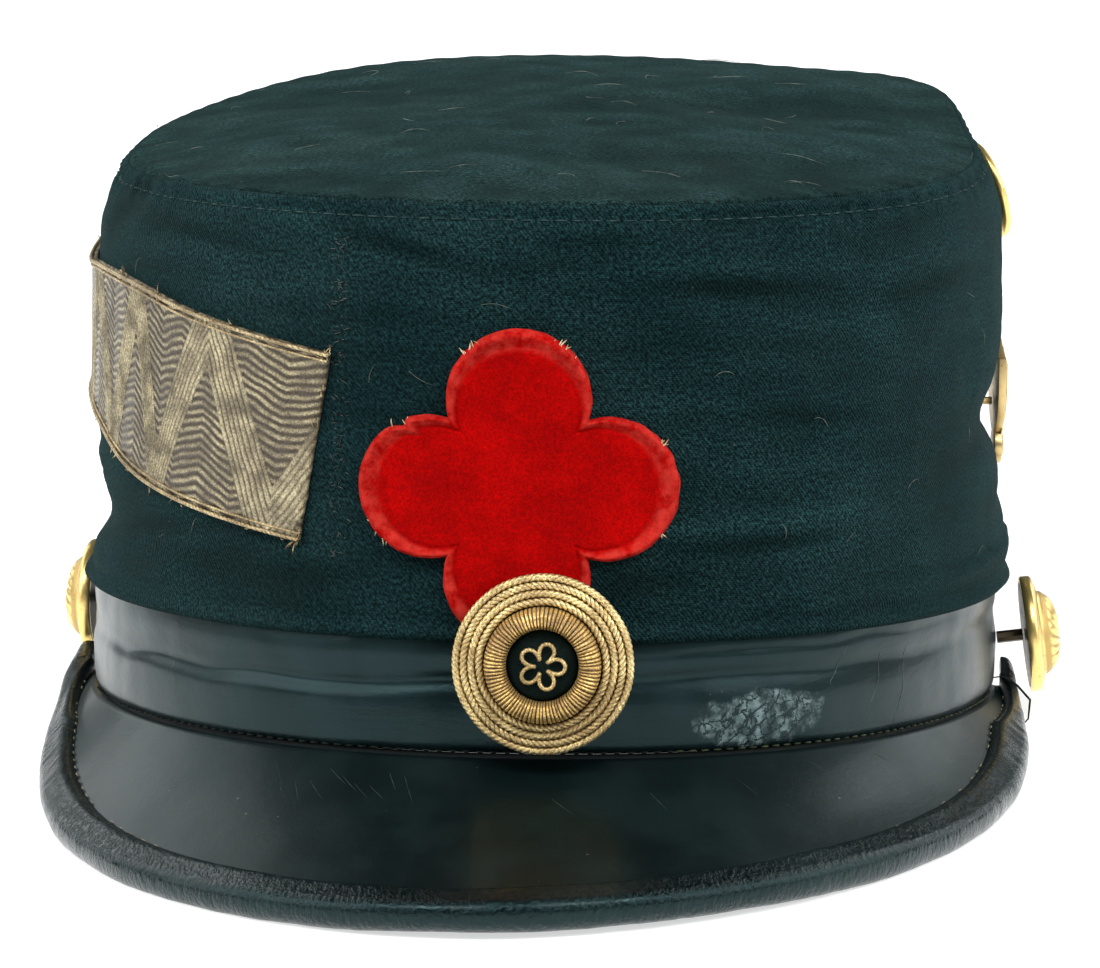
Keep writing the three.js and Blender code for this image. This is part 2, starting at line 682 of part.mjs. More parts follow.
/** The pressed shell of a side button, hollow towards its back. */
function buttonShellGeometry() {
  const lip = BUTTON_BACK + GAP;
  const inside = BUTTON_RADIUS - BUTTON_SHELL;
  const top = lip + BUTTON_RIM;
  const crown = lip + BUTTON_DOME;
  const profile = [
    [0, crown],
    [0.5 * BUTTON_DOME_RADIUS, crown - 0.13 * BUTTON_DOME],
    [0.86 * BUTTON_DOME_RADIUS, crown - 0.45 * BUTTON_DOME],
    [BUTTON_DOME_RADIUS, top],
    [BUTTON_RADIUS - 0.5 * BUTTON_SHELL, top],
    [BUTTON_RADIUS, top - 0.6 * BUTTON_SHELL],
    [BUTTON_RADIUS, 0],
    [inside, 0],
    [inside, top - BUTTON_SHELL],
    [BUTTON_DOME_RADIUS - BUTTON_SHELL, top - BUTTON_SHELL],
    [0.5 * BUTTON_DOME_RADIUS, crown - 0.13 * BUTTON_DOME - BUTTON_SHELL],
    [0, crown - BUTTON_SHELL],
  ];
  return turned(profile);
}

/** The plate that closes a side button's back. */
function buttonBackGeometry() {
  const radius = BUTTON_RADIUS - BUTTON_SHELL - GAP;
  return turned([
    [0, 0],
    [radius, 0],
    [radius, BUTTON_BACK],
    [0, BUTTON_BACK],
  ]);
}

/** A disc badge, slightly domed, with a raised rim. */
function discBadgeGeometry() {
  const radius = DISC_BADGE_RADIUS;
  const thick = DISC_BADGE_THICKNESS;
  return turned([
    [0, 0],
    [radius, 0],
    [radius, 1.5 * thick],
    [0.93 * radius, 1.5 * thick],
    [0.9 * radius, thick],
    [0, 1.9 * thick],
  ]);
}

/** A shield badge with a small drop-shaped foot, from its half outline. */
function shieldBadgeGeometry() {
  const shape = new THREE.Shape();
  const place = ({ across, up }, side) => [
    (side * across * SHIELD_BADGE_WIDTH) / 2,
    up * SHIELD_BADGE_HEIGHT,
  ];
  shape.moveTo(...place(SHIELD_OUTLINE[0], 1));
  SHIELD_OUTLINE.slice(1).forEach((row) => shape.lineTo(...place(row, 1)));
  const back = SHIELD_OUTLINE.slice(1, -1).reverse();
  back.forEach((row) => shape.lineTo(...place(row, -1)));
  return new THREE.ExtrudeGeometry(shape, {
    depth: SHIELD_BADGE_THICKNESS,
    bevelEnabled: false,
    curveSegments: 1,
  });
}

/** A straight pin along Z from a height to a height. */
function pinGeometry(width, from, to) {
  const made = new THREE.CylinderGeometry(width / 2, width / 2, to - from, 8);
  return made.rotateX(Math.PI / 2).translate(0, 0, (from + to) / 2);
}

/** A group whose Z axis looks out of the wall, its Y axis up, set off the wall and leaned. */
function seatGroup(point, outward, lean) {
  const group = new THREE.Group();
  const up = new THREE.Vector3(0, 0, 1);
  const side = up.clone().cross(outward).normalize();
  const basis = new THREE.Matrix4().makeBasis(side, up, outward);
  group.quaternion.setFromRotationMatrix(basis);
  group.rotateX(rad(-lean));
  group.position.copy(point);
  return group;
}

/** A named mesh with its own finish. */
function piece(name, geometry, colour, roughness, metalness = 0) {
  const material = new THREE.MeshStandardMaterial({ color: colour, roughness, metalness });
  const mesh = new THREE.Mesh(geometry, material);
  mesh.name = name;
  return mesh;
}

const CLOTH = 0x18292c;
const LEATHER = 0x14191b;
const VELVET = 0xb00a08;
const GILT = 0xb8914a;
const BRASS = 0xcfae62;
const DARK_BRASS = 0x3a3122;
const LACE = 0x9a8a68;

/** The cockade as a group on its own axis. */
function cockade() {
  const group = new THREE.Group();
  group.add(piece("cockade_back", cockadeBackGeometry(), CLOTH, 0.9));
  for (let i = 0; i < COCKADE_CORDS; i += 1) {
    group.add(piece(`cockade_cord_${i + 1}`, cordGeometry(i), GILT, 0.4, 0.8));
  }
  group.add(piece("cockade_ray_ring", rayRingGeometry(), GILT, 0.45, 0.8));
  group.add(piece("cockade_velvet_disc", velvetDiscGeometry(), CLOTH, 0.95));
  group.add(piece("cockade_knot", knotGeometry(), GILT, 0.4, 0.8));
  return group;
}

/** Seats the cockade on the hem and the ornament at the front. */
function seatedCockade() {
  const group = cockade();
  const rimAngle = Math.asin((COCKADE_SIDEWAYS + COCKADE_RADIUS) / HEAD_HALF_DEPTH);
  const angle = Math.asin(COCKADE_SIDEWAYS / HEAD_HALF_DEPTH);
  const steps = spread(12, (t) => t);
  const reachOf = (point) => -point.y;
  const underneath = steps.flatMap((a) =>
    steps.map((t) => {
      const turn = THREE.MathUtils.lerp(-rimAngle, rimAngle, a);
      const height = COCKADE_HEIGHT + COCKADE_RADIUS * (2 * t - 1);
      const share = wallShare(turn, Math.max(height, hemHeight));
      const ornament = height > ORNAMENT_HEIGHT - ORNAMENT_HALF_SPAN ? GAP + ORNAMENT_THICKNESS : 0;
      return reachOf(onWall(turn, share, ornament));
    }),
  );
  const point = polar(angle, wallRadius(angle, 0), COCKADE_HEIGHT);
  group.position.set(point.x, -Math.max(...underneath) - GAP, COCKADE_HEIGHT);
  group.rotation.x = Math.PI / 2;
  return group;
}

/** A side button with its back plate and shank, on one side of the band. */
function sideButton(sideName) {
  const { angle: degrees, height, standOff, lift: faceLift } = BUTTON_SEATS[sideName];
  const angle = rad(degrees);
  const outward = wallNormal(angle);
  const lift = BUTTON_RADIUS * Math.sin(rad(faceLift));
  const seat = polar(angle, bandRadius(angle, height / BAND_HEIGHT), height);
  const group = seatGroup(seat.addScaledVector(outward, standOff + lift), outward, faceLift);
  group.add(piece(`button_shell_${sideName}`, buttonShellGeometry(), BRASS, 0.35, 0.9));
  group.add(piece(`button_back_${sideName}`, buttonBackGeometry(), DARK_BRASS, 0.5, 0.8));
  const shank = pinGeometry(SHANK_WIDTH, GAP - standOff - lift, -GAP);
  group.add(piece(`button_shank_${sideName}`, shank, DARK_BRASS, 0.5, 0.8));
  return group;
}

/** A badge on the wearer's left, with the pin that holds it off the wall. */
function sideBadge(name, geometry, angleDegrees, share, lean) {
  const angle = rad(angleDegrees);
  const outward = wallNormal(angle);
  const seat = onWall(angle, share);
  const group = seatGroup(seat, outward, lean);
  group.updateMatrixWorld(true);
  geometry.computeBoundingBox();
  const { min, max } = geometry.boundingBox;
  let bulge = 0;
  for (const across of spread(8, (t) => THREE.MathUtils.lerp(min.x, max.x, t))) {
    for (const up of spread(8, (t) => THREE.MathUtils.lerp(min.y, max.y, t))) {
      const turn = angle + across / (HEAD_HALF_DEPTH + BAND_THICKNESS);
      const near = Math.min(wallShare(turn, seat.z + up * Math.cos(rad(lean))), 1);
      bulge = Math.max(bulge, group.worldToLocal(onWall(turn, near)).z);
    }
  }
  const standOff = bulge + BADGE_STAND_OFF;
  group.translateZ(standOff);
  group.updateMatrixWorld(true);
  group.add(piece(name, geometry, BRASS, 0.4, 0.9));
  const pin = pinGeometry(BADGE_PIN, -standOff - SINK, -GAP).applyMatrix4(group.matrixWorld);
  return [group, piece(`${name}_pin`, fittedToWall(pin), BRASS, 0.4, 0.9)];
}

/** A geometry as a solid for cutting. */
function toSolid(geometry) {
  const bare = geometry.clone();
  bare.deleteAttribute("normal");
  bare.deleteAttribute("uv");
  const merged = mergeVertices(bare, 1e-4);
  return new wasm.Manifold(
    new wasm.Mesh({
      numProp: 3,
      vertProperties: merged.getAttribute("position").array,
      triVerts: new Uint32Array(merged.index.array),
    }),
  );
}

/** A solid back as a geometry. */
function fromSolid(solid) {
  const mesh = solid.getMesh();
  const geometry = new THREE.BufferGeometry();
  geometry.setAttribute("position", new THREE.BufferAttribute(mesh.vertProperties, 3));
  geometry.setIndex(new THREE.BufferAttribute(mesh.triVerts, 1));
  return geometry;
}

/** The mass centre of solids of one density. */
function massCentre(geometries) {
  const centre = new THREE.Vector3();
  let volume = 0;
  for (const geometry of geometries) {
    const position = geometry.getAttribute("position");
    for (let i = 0; i < geometry.index.count; i += 3) {
      const [a, b, c] = [0, 1, 2].map((k) =>
        new THREE.Vector3().fromBufferAttribute(position, geometry.index.getX(i + k)),
      );
      const share = a.dot(b.clone().cross(c)) / 6;
      volume += share;
      centre.addScaledVector(a.add(b).add(c), share / 4);
    }
  }
  return centre.divideScalar(volume);
}

/** Where a convex cost is least, between two limits. */
function leastAt(low, high, cost) {
  for (let i = 0; i < 40; i += 1) {
    const third = (high - low) / 3;
    if (cost(low + third) < cost(high - third)) high -= third;
    else low += third;
  }
  return (low + high) / 2;
}

/** The table's upward direction in the upright frame, from how far it tips to the side and to the rear. */
const tableUp = (aside, back) => new THREE.Vector3(aside, back, 1).normalize();

/** How low a solid reaches along a direction. */
function reachBelow(geometry, up) {
  const position = geometry.getAttribute("position");
  const point = new THREE.Vector3();
  let lowest = Infinity;
  for (let i = 0; i < position.count; i += 1) {
    lowest = Math.min(lowest, point.fromBufferAttribute(position, i).dot(up));
  }
  return lowest;
}

/** The stance in which the mass centre lies lowest: the table's upward direction, and its height along it. */
function settledStance(feet, centre) {
  const floorAt = (up) => Math.min(...feet.map((foot) => reachBelow(foot, up)));
  const height = (aside, back) => {
    const up = tableUp(aside, back);
    return centre.dot(up) - floorAt(up);
  };
  const bestAside = (back) => leastAt(-0.15, 0.15, (aside) => height(aside, back));
  const back = leastAt(-0.25, 0, (value) => height(bestAside(value), value));
  const up = tableUp(bestAside(back), back);
  return { up, floor: floorAt(up) };
}

const wall = wallGeometry();
const top = topGeometry();
const band = bandGeometry();
const peak = peakGeometry();
const binding = bindingGeometry();
const stance = settledStance([band, binding], massCentre([wall, top, band, peak, binding]));
const upright = new THREE.Vector3(0, 0, 1);

/** The space under the table's top, in the upright frame, raised by the amount the leather settles. */
function underTable() {
  const size = 4 * (HEAD_HALF_DEPTH + PEAK_LENGTH);
  const block = new THREE.BoxGeometry(size, size, size).translate(0, 0, stance.floor + SETTLE - size / 2);
  return block.applyQuaternion(new THREE.Quaternion().setFromUnitVectors(upright, stance.up));
}

const wallBlock = toSolid(wallGeometry(GAP));
const fittedToWall = (geometry) => fromSolid(toSolid(geometry).subtract(wallBlock));

const tableBlock = toSolid(underTable());
const pressedFlat = (geometry) => toSolid(geometry).subtract(tableBlock);
const bandSolid = pressedFlat(band);
const bindingSolid = pressedFlat(binding).subtract(toSolid(peakGeometry(GAP)));

const shako = new THREE.Group();
shako.add(
  piece("crown_wall", wall, CLOTH, 0.95),
  piece("crown_top", top, CLOTH, 0.95),
  piece("leather_band", fromSolid(bandSolid), LEATHER, 0.35),
  piece("peak", peak, LEATHER, 0.3),
  piece("peak_binding", fromSolid(bindingSolid), LEATHER, 0.35),
  piece("front_ornament", fittedToWall(ornamentGeometry()), VELVET, 0.9),
  piece("side_lace", fittedToWall(laceGeometry()), LACE, 0.5, 0.5),
  seatedCockade(),
  sideButton("left"),
  sideButton("right"),
  ...sideBadge("disc_badge", discBadgeGeometry(), DISC_BADGE_ANGLE, DISC_BADGE_SHARE, DISC_BADGE_LEAN),
  ...sideBadge("shield_badge", shieldBadgeGeometry(), SHIELD_BADGE_ANGLE, SHIELD_BADGE_SHARE, 0),
);
shako.quaternion.setFromUnitVectors(stance.up, upright);
shako.updateMatrixWorld(true);

// The frame's origin is on the table, under the middle of the whole
const bounds = new THREE.Box3().setFromObject(shako, true);
shako.position.x = -(bounds.min.x + bounds.max.x) / 2;
shako.position.y = -(bounds.min.y + bounds.max.y) / 2;
shako.position.z = -bounds.min.z;

const part = new THREE.Group();
part.add(shako);

export default part;
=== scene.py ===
"""A low cloth shako with a leather band and peak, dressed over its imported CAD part.

Shapes are worked out in millimetres in the shako's own upright frame and are then set on the table in the
stance in which the CAD part stands.
"""

import json
import logging
import math
import random
from collections.abc import Callable, Sequence
from dataclasses import dataclass
from enum import Enum
from typing import Any

import bmesh
import bpy
from mathutils import Matrix, Vector, noise

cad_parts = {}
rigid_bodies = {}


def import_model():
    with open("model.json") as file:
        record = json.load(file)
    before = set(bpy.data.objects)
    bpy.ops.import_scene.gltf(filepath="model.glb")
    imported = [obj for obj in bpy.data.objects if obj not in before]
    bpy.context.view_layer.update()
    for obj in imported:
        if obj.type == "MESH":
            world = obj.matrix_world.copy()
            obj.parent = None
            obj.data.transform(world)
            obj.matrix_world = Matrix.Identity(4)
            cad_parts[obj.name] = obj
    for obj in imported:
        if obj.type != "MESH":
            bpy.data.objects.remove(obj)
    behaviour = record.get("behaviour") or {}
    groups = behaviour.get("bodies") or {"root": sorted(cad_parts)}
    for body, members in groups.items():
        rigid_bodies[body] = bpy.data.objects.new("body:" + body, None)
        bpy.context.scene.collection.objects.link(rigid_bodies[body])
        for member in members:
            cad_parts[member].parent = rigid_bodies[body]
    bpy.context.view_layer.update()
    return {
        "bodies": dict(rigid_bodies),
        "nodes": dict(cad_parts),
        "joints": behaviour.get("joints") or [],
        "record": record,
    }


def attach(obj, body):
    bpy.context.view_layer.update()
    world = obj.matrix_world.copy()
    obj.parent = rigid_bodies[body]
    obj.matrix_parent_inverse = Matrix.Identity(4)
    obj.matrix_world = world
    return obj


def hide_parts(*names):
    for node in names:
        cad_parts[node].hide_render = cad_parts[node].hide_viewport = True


log = logging.getLogger("shako")

Point = tuple[float, float, float]
Surface = Callable[[float, float], Vector]

MM = 0.001
GAP = 0.3  # between pieces that touch, in millimetres
WELD = 1e-4  # vertices of a shell that lie this near each other are one
TUBE_WELD = 1e-5  # the same for a tube
FOLD_CUTOFF = 12  # the squared distance, in widths of a fold, past which it is left out


# Shape of the shako in its upright frame


@dataclass(frozen=True)
class Fold:
    """A dent of the wall (depth above 0) or a swelling of it (below 0)."""

    angle: float
    height: float
    wide: float
    tall: float
    slant: float
    depth: float


@dataclass(frozen=True)
class TopFold:
    """A wave of the top panel, placed by shares of its half sizes."""

    across: float
    along: float
    wide: float
    deep: float
    turn: float
    depth: float


@dataclass(frozen=True)
class Corner:
    """A place where the crown's upper edge leaves its oval."""

    angle: float
    wide: float
    out: float
    up: float


WALL_SWELL = (
    (0, 0), (0.012, 0.14), (0.04, -0.06), (0.08, 0.06), (0.14, 0), (0.22, -0.14), (0.32, -0.2), (0.4, -0.2),
    (0.48, -0.2), (0.62, -0.17), (0.76, -0.14), (0.88, -0.2), (0.94, -0.42), (0.98, -0.64), (1, -0.86),
)
BAND_SWELL = ((0, 0.5), (0.16, 0.9), (0.4, 1), (0.6, 0.35), (0.78, 0.7), (1, 0))
EDGE_CORNERS = (
    Corner(133, 16, 4.5, 2),
    Corner(104, 18, -1.8, 0.4),
    Corner(-128, 22, 0.6, -2),
    Corner(-96, 30, -2, -2),
)
WALL_FOLDS = (
    Fold(99, 0.41, 22, 0.085, 0, 0.95),
    Fold(62, 0.5, 24, 0.05, -0.003, 0.16),
    Fold(-86, 0.16, 30, 0.08, 0.001, 0.85),
    Fold(-88, 0.6, 26, 0.2, 0, 0.12),
    Fold(-92, 0.17, 24, 0.02, 0.001, -0.14),
    Fold(-92, 0.32, 22, 0.05, 0.002, 0.2),
    Fold(-27, 0.88, 16, 0.028, -0.0022, 0.22),
    Fold(34, 0.76, 20, 0.05, -0.001, 0.2),
    Fold(60, 0.66, 18, 0.06, 0.002, 0.16),
    Fold(88, 0.19, 20, 0.035, 0.002, 0.16),
    Fold(52, 0.07, 34, 0.022, 0.0009, -0.18),
    Fold(150, 0.35, 26, 0.12, 0.001, 0.3),
    Fold(-152, 0.52, 30, 0.14, -0.001, 0.3),
)
TOP_FOLDS = (
    TopFold(-0.12, -0.72, 0.34, 0.1, -7, -0.8),
    TopFold(-0.42, -0.74, 0.24, 0.12, 12, 0.7),
    TopFold(0.36, -0.66, 0.5, 0.16, 4, 0.5),
    TopFold(0.45, 0.1, 0.5, 0.14, 24, 0.6),
    TopFold(-0.4, 0.3, 0.45, 0.2, -18, 0.5),
    TopFold(0.62, -0.3, 0.3, 0.12, 35, -0.5),
)

# Shallow creases of the cloth that only the dressed wall has, with their depths in millimetres
CLOTH_CREASES = (
    Fold(-13, 0.91, 8, 0.02, -0.0055, 0.6),
    Fold(-22, 0.95, 8, 0.02, -0.003, -0.3),
    Fold(9, 0.925, 7, 0.015, 0.001, 0.28),
    Fold(23.5, 0.81, 9, 0.018, -0.001, 0.5),
    Fold(25, 0.86, 12, 0.022, -0.001, -0.35),
    Fold(50, 0.93, 9, 0.015, 0.001, 0.35),
    Fold(53, 0.78, 10, 0.025, 0.001, 0.45),
    Fold(66, 0.84, 9, 0.02, 0.002, -0.35),
    Fold(34, 0.5, 11, 0.02, -0.002, 0.25),
    Fold(65, 0.37, 10, 0.03, 0.002, 0.5),
    Fold(26, 0.215, 10, 0.018, 0.0008, 0.5),
    Fold(22, 0.26, 12, 0.02, 0.0008, -0.3),
    Fold(13, 0.14, 6, 0.03, 0.004, 0.4),
    Fold(-22, 0.12, 6, 0.05, 0.004, 0.45),
    Fold(-36, 0.13, 8, 0.04, -0.002, 0.4),
    Fold(-46, 0.2, 9, 0.02, 0.002, 0.35),
    Fold(-58, 0.94, 6, 0.04, 0.008, 0.6),
    Fold(-40, 0.9, 9, 0.018, -0.002, 0.4),
)

# Edges of the lace: degrees from straight ahead, lower and upper edge as shares of the wall
LACE_EDGES = (
    (-19, 0.215, 0.668),
    (-38, 0.275, 0.74),
    (-50, 0.325, 0.785),
    (-64, 0.41, 0.8),
    (-82, 0.465, 0.79),
    (-128, 0.5, 0.84),
)

# Right half of the shield badge's outline, from its top: shares of its half width and of its height
SHIELD_OUTLINE = (
    (0, 0.5), (0.5, 0.4), (1, 0.36), (0.98, 0.2), (0.95, 0.05), (0.8, -0.08), (0.6, -0.16), (0.26, -0.24),
    (0.4, -0.29), (0.46, -0.34), (0.43, -0.41), (0.3, -0.46), (0.14, -0.49), (0, -0.5),
)


def read_rows(rows: Sequence[tuple[float, float]], at: float) -> float:
    """Reads a table of value pairs by smooth interpolation between its rows.

    Args:
        rows: Pairs of input and output, in rising order of input.
        at: The input.

    Returns:
        The output there.
    """
    last = len(rows) - 1
    if at <= rows[0][0]:
        return rows[0][1]
    if at >= rows[last][0]:
        return rows[last][1]
    upper = next(i for i, row in enumerate(rows) if row[0] >= at)
    (a, b), (c, d) = rows[upper - 1], rows[upper]
    (e, f), (g, h) = rows[max(upper - 2, 0)], rows[min(upper + 1, last)]
    t = (at - a) / (c - a)
    start = (d - f) / (c - e) * (c - a)
    end = (h - b) / (g - a) * (c - a)
    return (
        b * (2 * t**3 - 3 * t**2 + 1)
        + start * (t**3 - 2 * t**2 + t)
        + d * (3 * t**2 - 2 * t**3)
        + end * (t**3 - t**2)
    )


def bell(value: float, middle: float, wide: float) -> float:
    """A smooth bump of height 1 about a middle."""
    return math.exp(-(((value - middle) / wide) ** 2))


def step(value: float, low: float, high: float) -> float:
    """A smooth rise from 0 at a low value to 1 at a high one."""
    t = min(max((value - low) / (high - low), 0), 1)
    return t * t * (3 - 2 * t)


def degrees_from(degrees: float, middle: float) -> float:
    """How far an angle lies from another, both in degrees, the short way round."""
    return (degrees - middle + 180) % 360 - 180


def fold_sum(folds: Sequence[Fold], degrees: float, share: float) -> float:
    """How deep a row of folds is, all together, at an angle in degrees and a share of the wall."""
    depth = 0.0
    for fold in folds:
        aside = degrees_from(degrees, fold.angle)
        above = (share - fold.height - fold.slant * aside) / fold.tall
        reach = (aside / fold.wide) ** 2 + above * above
        if reach < FOLD_CUTOFF:
            depth += fold.depth * math.exp(-reach)
    return depth


def polar(angle: float, radius: float, height: float) -> Vector:
    """The point at an angle from straight ahead, a distance from the middle and a height."""
    return Vector((radius * math.sin(angle), -radius * math.cos(angle), height))


@dataclass(frozen=True)
class Form:
    """The shako's driving sizes, in millimetres, and the surfaces that follow from them."""

    head_half_width: float = 82
    head_half_depth: float = 99.4
    squareness: float = 2.12
    band_thickness: float = 2.2
    band_height: float = 22.2
    band_relief: float = 0.9
    cloth: float = 2
    hem_overlap: float = 2.2
    hem_thickness: float = 1.2
    wall_relief: float = 5
    edge_front: float = 95.2
    edge_rear: float = 109.5
    edge_droop: float = 3.4
    top_dome: float = 4.2
    top_relief: float = 1.6
    peak_thickness: float = 2
    peak_length: float = 45.5
    peak_drop: float = 20.2
    peak_hollow: float = 1.8
    peak_skew: float = 3.4

    def inner_radius(self, angle: float) -> float:
        """Inside of the band at an angle from straight ahead."""
        across = abs(math.sin(angle)) / self.head_half_width
        along = abs(math.cos(angle)) / self.head_half_depth
        return (across**self.squareness + along**self.squareness) ** (-1 / self.squareness)

    def band_radius(self, angle: float, share: float) -> float:
        """Outside of the band at an angle and a share of its height."""
        swell = self.band_relief * read_rows(BAND_SWELL, share)
        return self.inner_radius(angle) + self.band_thickness + swell

    @property
    def hem(self) -> float:
        """Height of the cloth's lower edge."""
        return self.band_height - self.hem_overlap

    def corner(self, angle: float, out: bool) -> float:
        """How far the crown's upper edge leaves its oval, outwards or upwards."""
        degrees = math.degrees(angle)
        return sum(
            (row.out if out else row.up) * math.exp(-((degrees_from(degrees, row.angle) / row.wide) ** 2))
            for row in EDGE_CORNERS
        )

    def edge_height(self, angle: float) -> float:
        """Height of the crown's upper edge at an angle."""
        rearward = (1 - math.cos(angle)) / 2
        slope = self.edge_front + (self.edge_rear - self.edge_front) * rearward
        return slope - self.edge_droop * math.sin(angle) ** 2 + self.corner(angle, False)

    def fold_depth(self, angle: float, share: float) -> float:
        """How far the folds press the wall in."""
        return self.wall_relief * fold_sum(WALL_FOLDS, math.degrees(angle), share)

    def wall_radius(self, angle: float, share: float) -> float:
        """Outside of the cloth wall at an angle and a share of its height."""
        base = self.band_radius(angle, self.hem / self.band_height) + GAP + self.hem_thickness
        swell = self.wall_relief * read_rows(WALL_SWELL, share)
        return base + swell + self.corner(angle, True) * share**4 - self.fold_depth(angle, share)

    def wall_height(self, angle: float, share: float) -> float:
        """Height of a share of the wall at an angle."""
        return self.hem + (self.edge_height(angle) - self.hem) * share

    def wall_share(self, angle: float, height: float) -> float:
        """The share of the wall that lies at a height."""
        return (height - self.hem) / (self.edge_height(angle) - self.hem)

    def on_wall(self, angle: float, share: float, offset: float = 0) -> Vector:
        """A point of the wall, or one clear of it by an offset."""
        return polar(angle, self.wall_radius(angle, share) + offset, self.wall_height(angle, share))

    def on_top(self, angle: float, share: float) -> Vector:
        """A point of the top panel's upper face, at a share of the way from its middle to its edge."""
        droop = self.edge_droop * math.sin(angle) ** 2
        seat = self.edge_height(angle) + GAP + self.cloth
        middle = (self.edge_front + self.edge_rear) / 2 + GAP + self.cloth
        slope = middle + (seat + droop - middle) * share
        waves = self.top_waves(share * math.sin(angle), -share * math.cos(angle)) * (1 - share**8)
        rise = self.top_dome * (1 - share**2) - droop * share**2 - waves
        return polar(angle, self.wall_radius(angle, 1) * share, slope + rise)

    def top_waves(self, across: float, along: float) -> float:
        """How far the waves press the top panel down."""
        depth = 0.0
        for fold in TOP_FOLDS:
            turn = math.radians(-fold.turn)
            x, y = across - fold.across, along - fold.along
            x, y = x * math.cos(turn) - y * math.sin(turn), x * math.sin(turn) + y * math.cos(turn)
            depth += fold.depth * math.exp(-((x / fold.wide) ** 2) - (y / fold.deep) ** 2)
        return self.top_relief * depth

    def peak_reach(self, angle: float) -> float:
        """How far the peak reaches out of the band at an angle."""
        share = min(abs(angle) / (math.pi / 2), 1)
        reach, fall = (2, 1.8) if angle > 0 else (3.8, 2.1)
        return reach + (self.peak_length - reach) * (1 - share**1.5) ** fall

    def peak_edge(self, angle: float) -> tuple[float, float]:
        """Distance from the middle and height of the peak's edge at an angle."""
        share = angle / (math.pi / 2)
        radius = self.band_radius(angle, 0) + self.peak_reach(angle)
        skew = self.peak_skew * radius * math.sin(angle) / self.head_half_width
        height = self.peak_root - self.peak_drop * (1 - share**2)
        return radius, height + skew * (1 - share**2)

    @property
    def peak_root(self) -> float:
        """Height of the peak's middle layer where it meets the band."""
        return -GAP - self.peak_thickness / 2

    def on_peak(self, angle: float, share: float, lift: float) -> Vector:
        """A point of the peak: share of the way from band to edge, and a lift off its middle layer."""
        root = self.band_radius(angle, 0)
        radius, height = self.peak_edge(angle)
        reach = self.peak_reach(angle)
        slope = Vector((reach, height - self.peak_root)).normalized()
        hollow = self.peak_hollow * math.sin(math.pi * share) * reach / self.peak_length
        out = root + (radius - root) * share - slope.y * (lift - hollow)
        up = self.peak_root + (height - self.peak_root) * share + slope.x * (lift - hollow)
        return polar(angle, out, up)

    def peak_share(self, angle: float, along: float) -> float:
        """The share of the way past the peak's edge that a distance along its slope makes."""
        _, height = self.peak_edge(angle)
        return 1 + along / math.hypot(self.peak_reach(angle), height - self.peak_root)


FORM = Form()


@dataclass(frozen=True)
class Stance:
    """How the upright shako stands on the table: the table's upward direction and where its origin lands."""

    up: Point = (-0.031687, -0.102785, 0.994199)
    origin: Point = (-2.13911, 19.82459, 10.09703)

    def matrix(self) -> Matrix:
        """The change from the upright frame in millimetres to the table's in metres."""
        turn = Vector(self.up).rotation_difference(Vector((0, 0, 1))).to_matrix().to_4x4()
        return Matrix.Scale(MM, 4) @ Matrix.Translation(Vector(self.origin)) @ turn


STANCE = Stance()
PLACE = STANCE.matrix()


# Mesh work


def new_piece(
    name: str,
    mesh: bmesh.types.BMesh,
    material: bpy.types.Material,
    stands_for: Sequence[str] = (),
) -> bpy.types.Object:
    """Turns a mesh in the upright frame into a dressed object on the table.

    Args:
        name: The piece's name.
        mesh: The mesh in the upright frame, in millimetres. It is freed.
        material: Its material.
        stands_for: The CAD nodes that it replaces.

    Returns:
        The object, which rides on the part's only body.
    """
    bmesh.ops.transform(mesh, matrix=PLACE, verts=mesh.verts)
    for vert in mesh.verts:
        vert.co.z = max(vert.co.z, 0)
    bmesh.ops.recalc_face_normals(mesh, faces=mesh.faces)
    for face in mesh.faces:
        face.smooth = True
    data = bpy.data.meshes.new(name)
    mesh.to_mesh(data)
    mesh.free()
    data.materials.append(material)
    piece = bpy.data.objects.new(name, data)
    bpy.context.collection.objects.link(piece)
    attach(piece, "root")
    if stands_for:
        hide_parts(*stands_for)
    log.info("%s: %d faces", name, len(data.polygons))
    return piece


def add_sheet(
    mesh: bmesh.types.BMesh,
    across: int,
    along: int,
    surface: Surface,
    relief: Callable[[float, float], float] | None = None,
) -> list[bmesh.types.BMVert]:
    """Adds a grid laid over a surface, with the surface's own shares as its UV map.

    Args:
        mesh: The mesh to add to.
        across: Number of cells across.
        along: Number of cells along.
        surface: A function from two shares of 0 to 1 to a point.
        relief: How high the surface stands there, 0 in its hollows and 1 on its ridges, for the material.

    Returns:
        The new vertices.
    """
    layer = mesh.loops.layers.uv.verify()
    height = mesh.verts.layers.float.get("relief") or mesh.verts.layers.float.new("relief")
    made = bmesh.ops.create_grid(mesh, x_segments=across, y_segments=along, size=0.5)["verts"]
    for face in {face for vert in made for face in vert.link_faces}:
        for loop in face.loops:
            loop[layer].uv = (loop.vert.co.x + 0.5, loop.vert.co.y + 0.5)
    for vert in made:
        u, v = vert.co.x + 0.5, vert.co.y + 0.5
        vert.co = surface(u, v)
        vert[height] = relief(u, v) if relief else 1
    return made


def shell_mesh(
    across: int,
    along: int,
    surface: Surface,
    relief: Callable[[float, float], float] | None = None,
    capped: bool = False,
) -> bmesh.types.BMesh:
    """A closed mesh of one grid whose borders meet, with its seams and poles welded.

    Args:
        across: Number of cells across.
        along: Number of cells along.
        surface: A function from two shares of 0 to 1 to a point.
        relief: How high the surface stands there, for the material.
        capped: Whether two ends are left open and have to be closed.

    Returns:
        The mesh.
    """
    mesh = bmesh.new()
    add_sheet(mesh, across, along, surface, relief)
    bmesh.ops.remove_doubles(mesh, verts=mesh.verts, dist=WELD)
    if capped:
        rims = [edge for edge in mesh.edges if edge.is_boundary]
        bmesh.ops.holes_fill(mesh, edges=rims, sides=0)
    return mesh


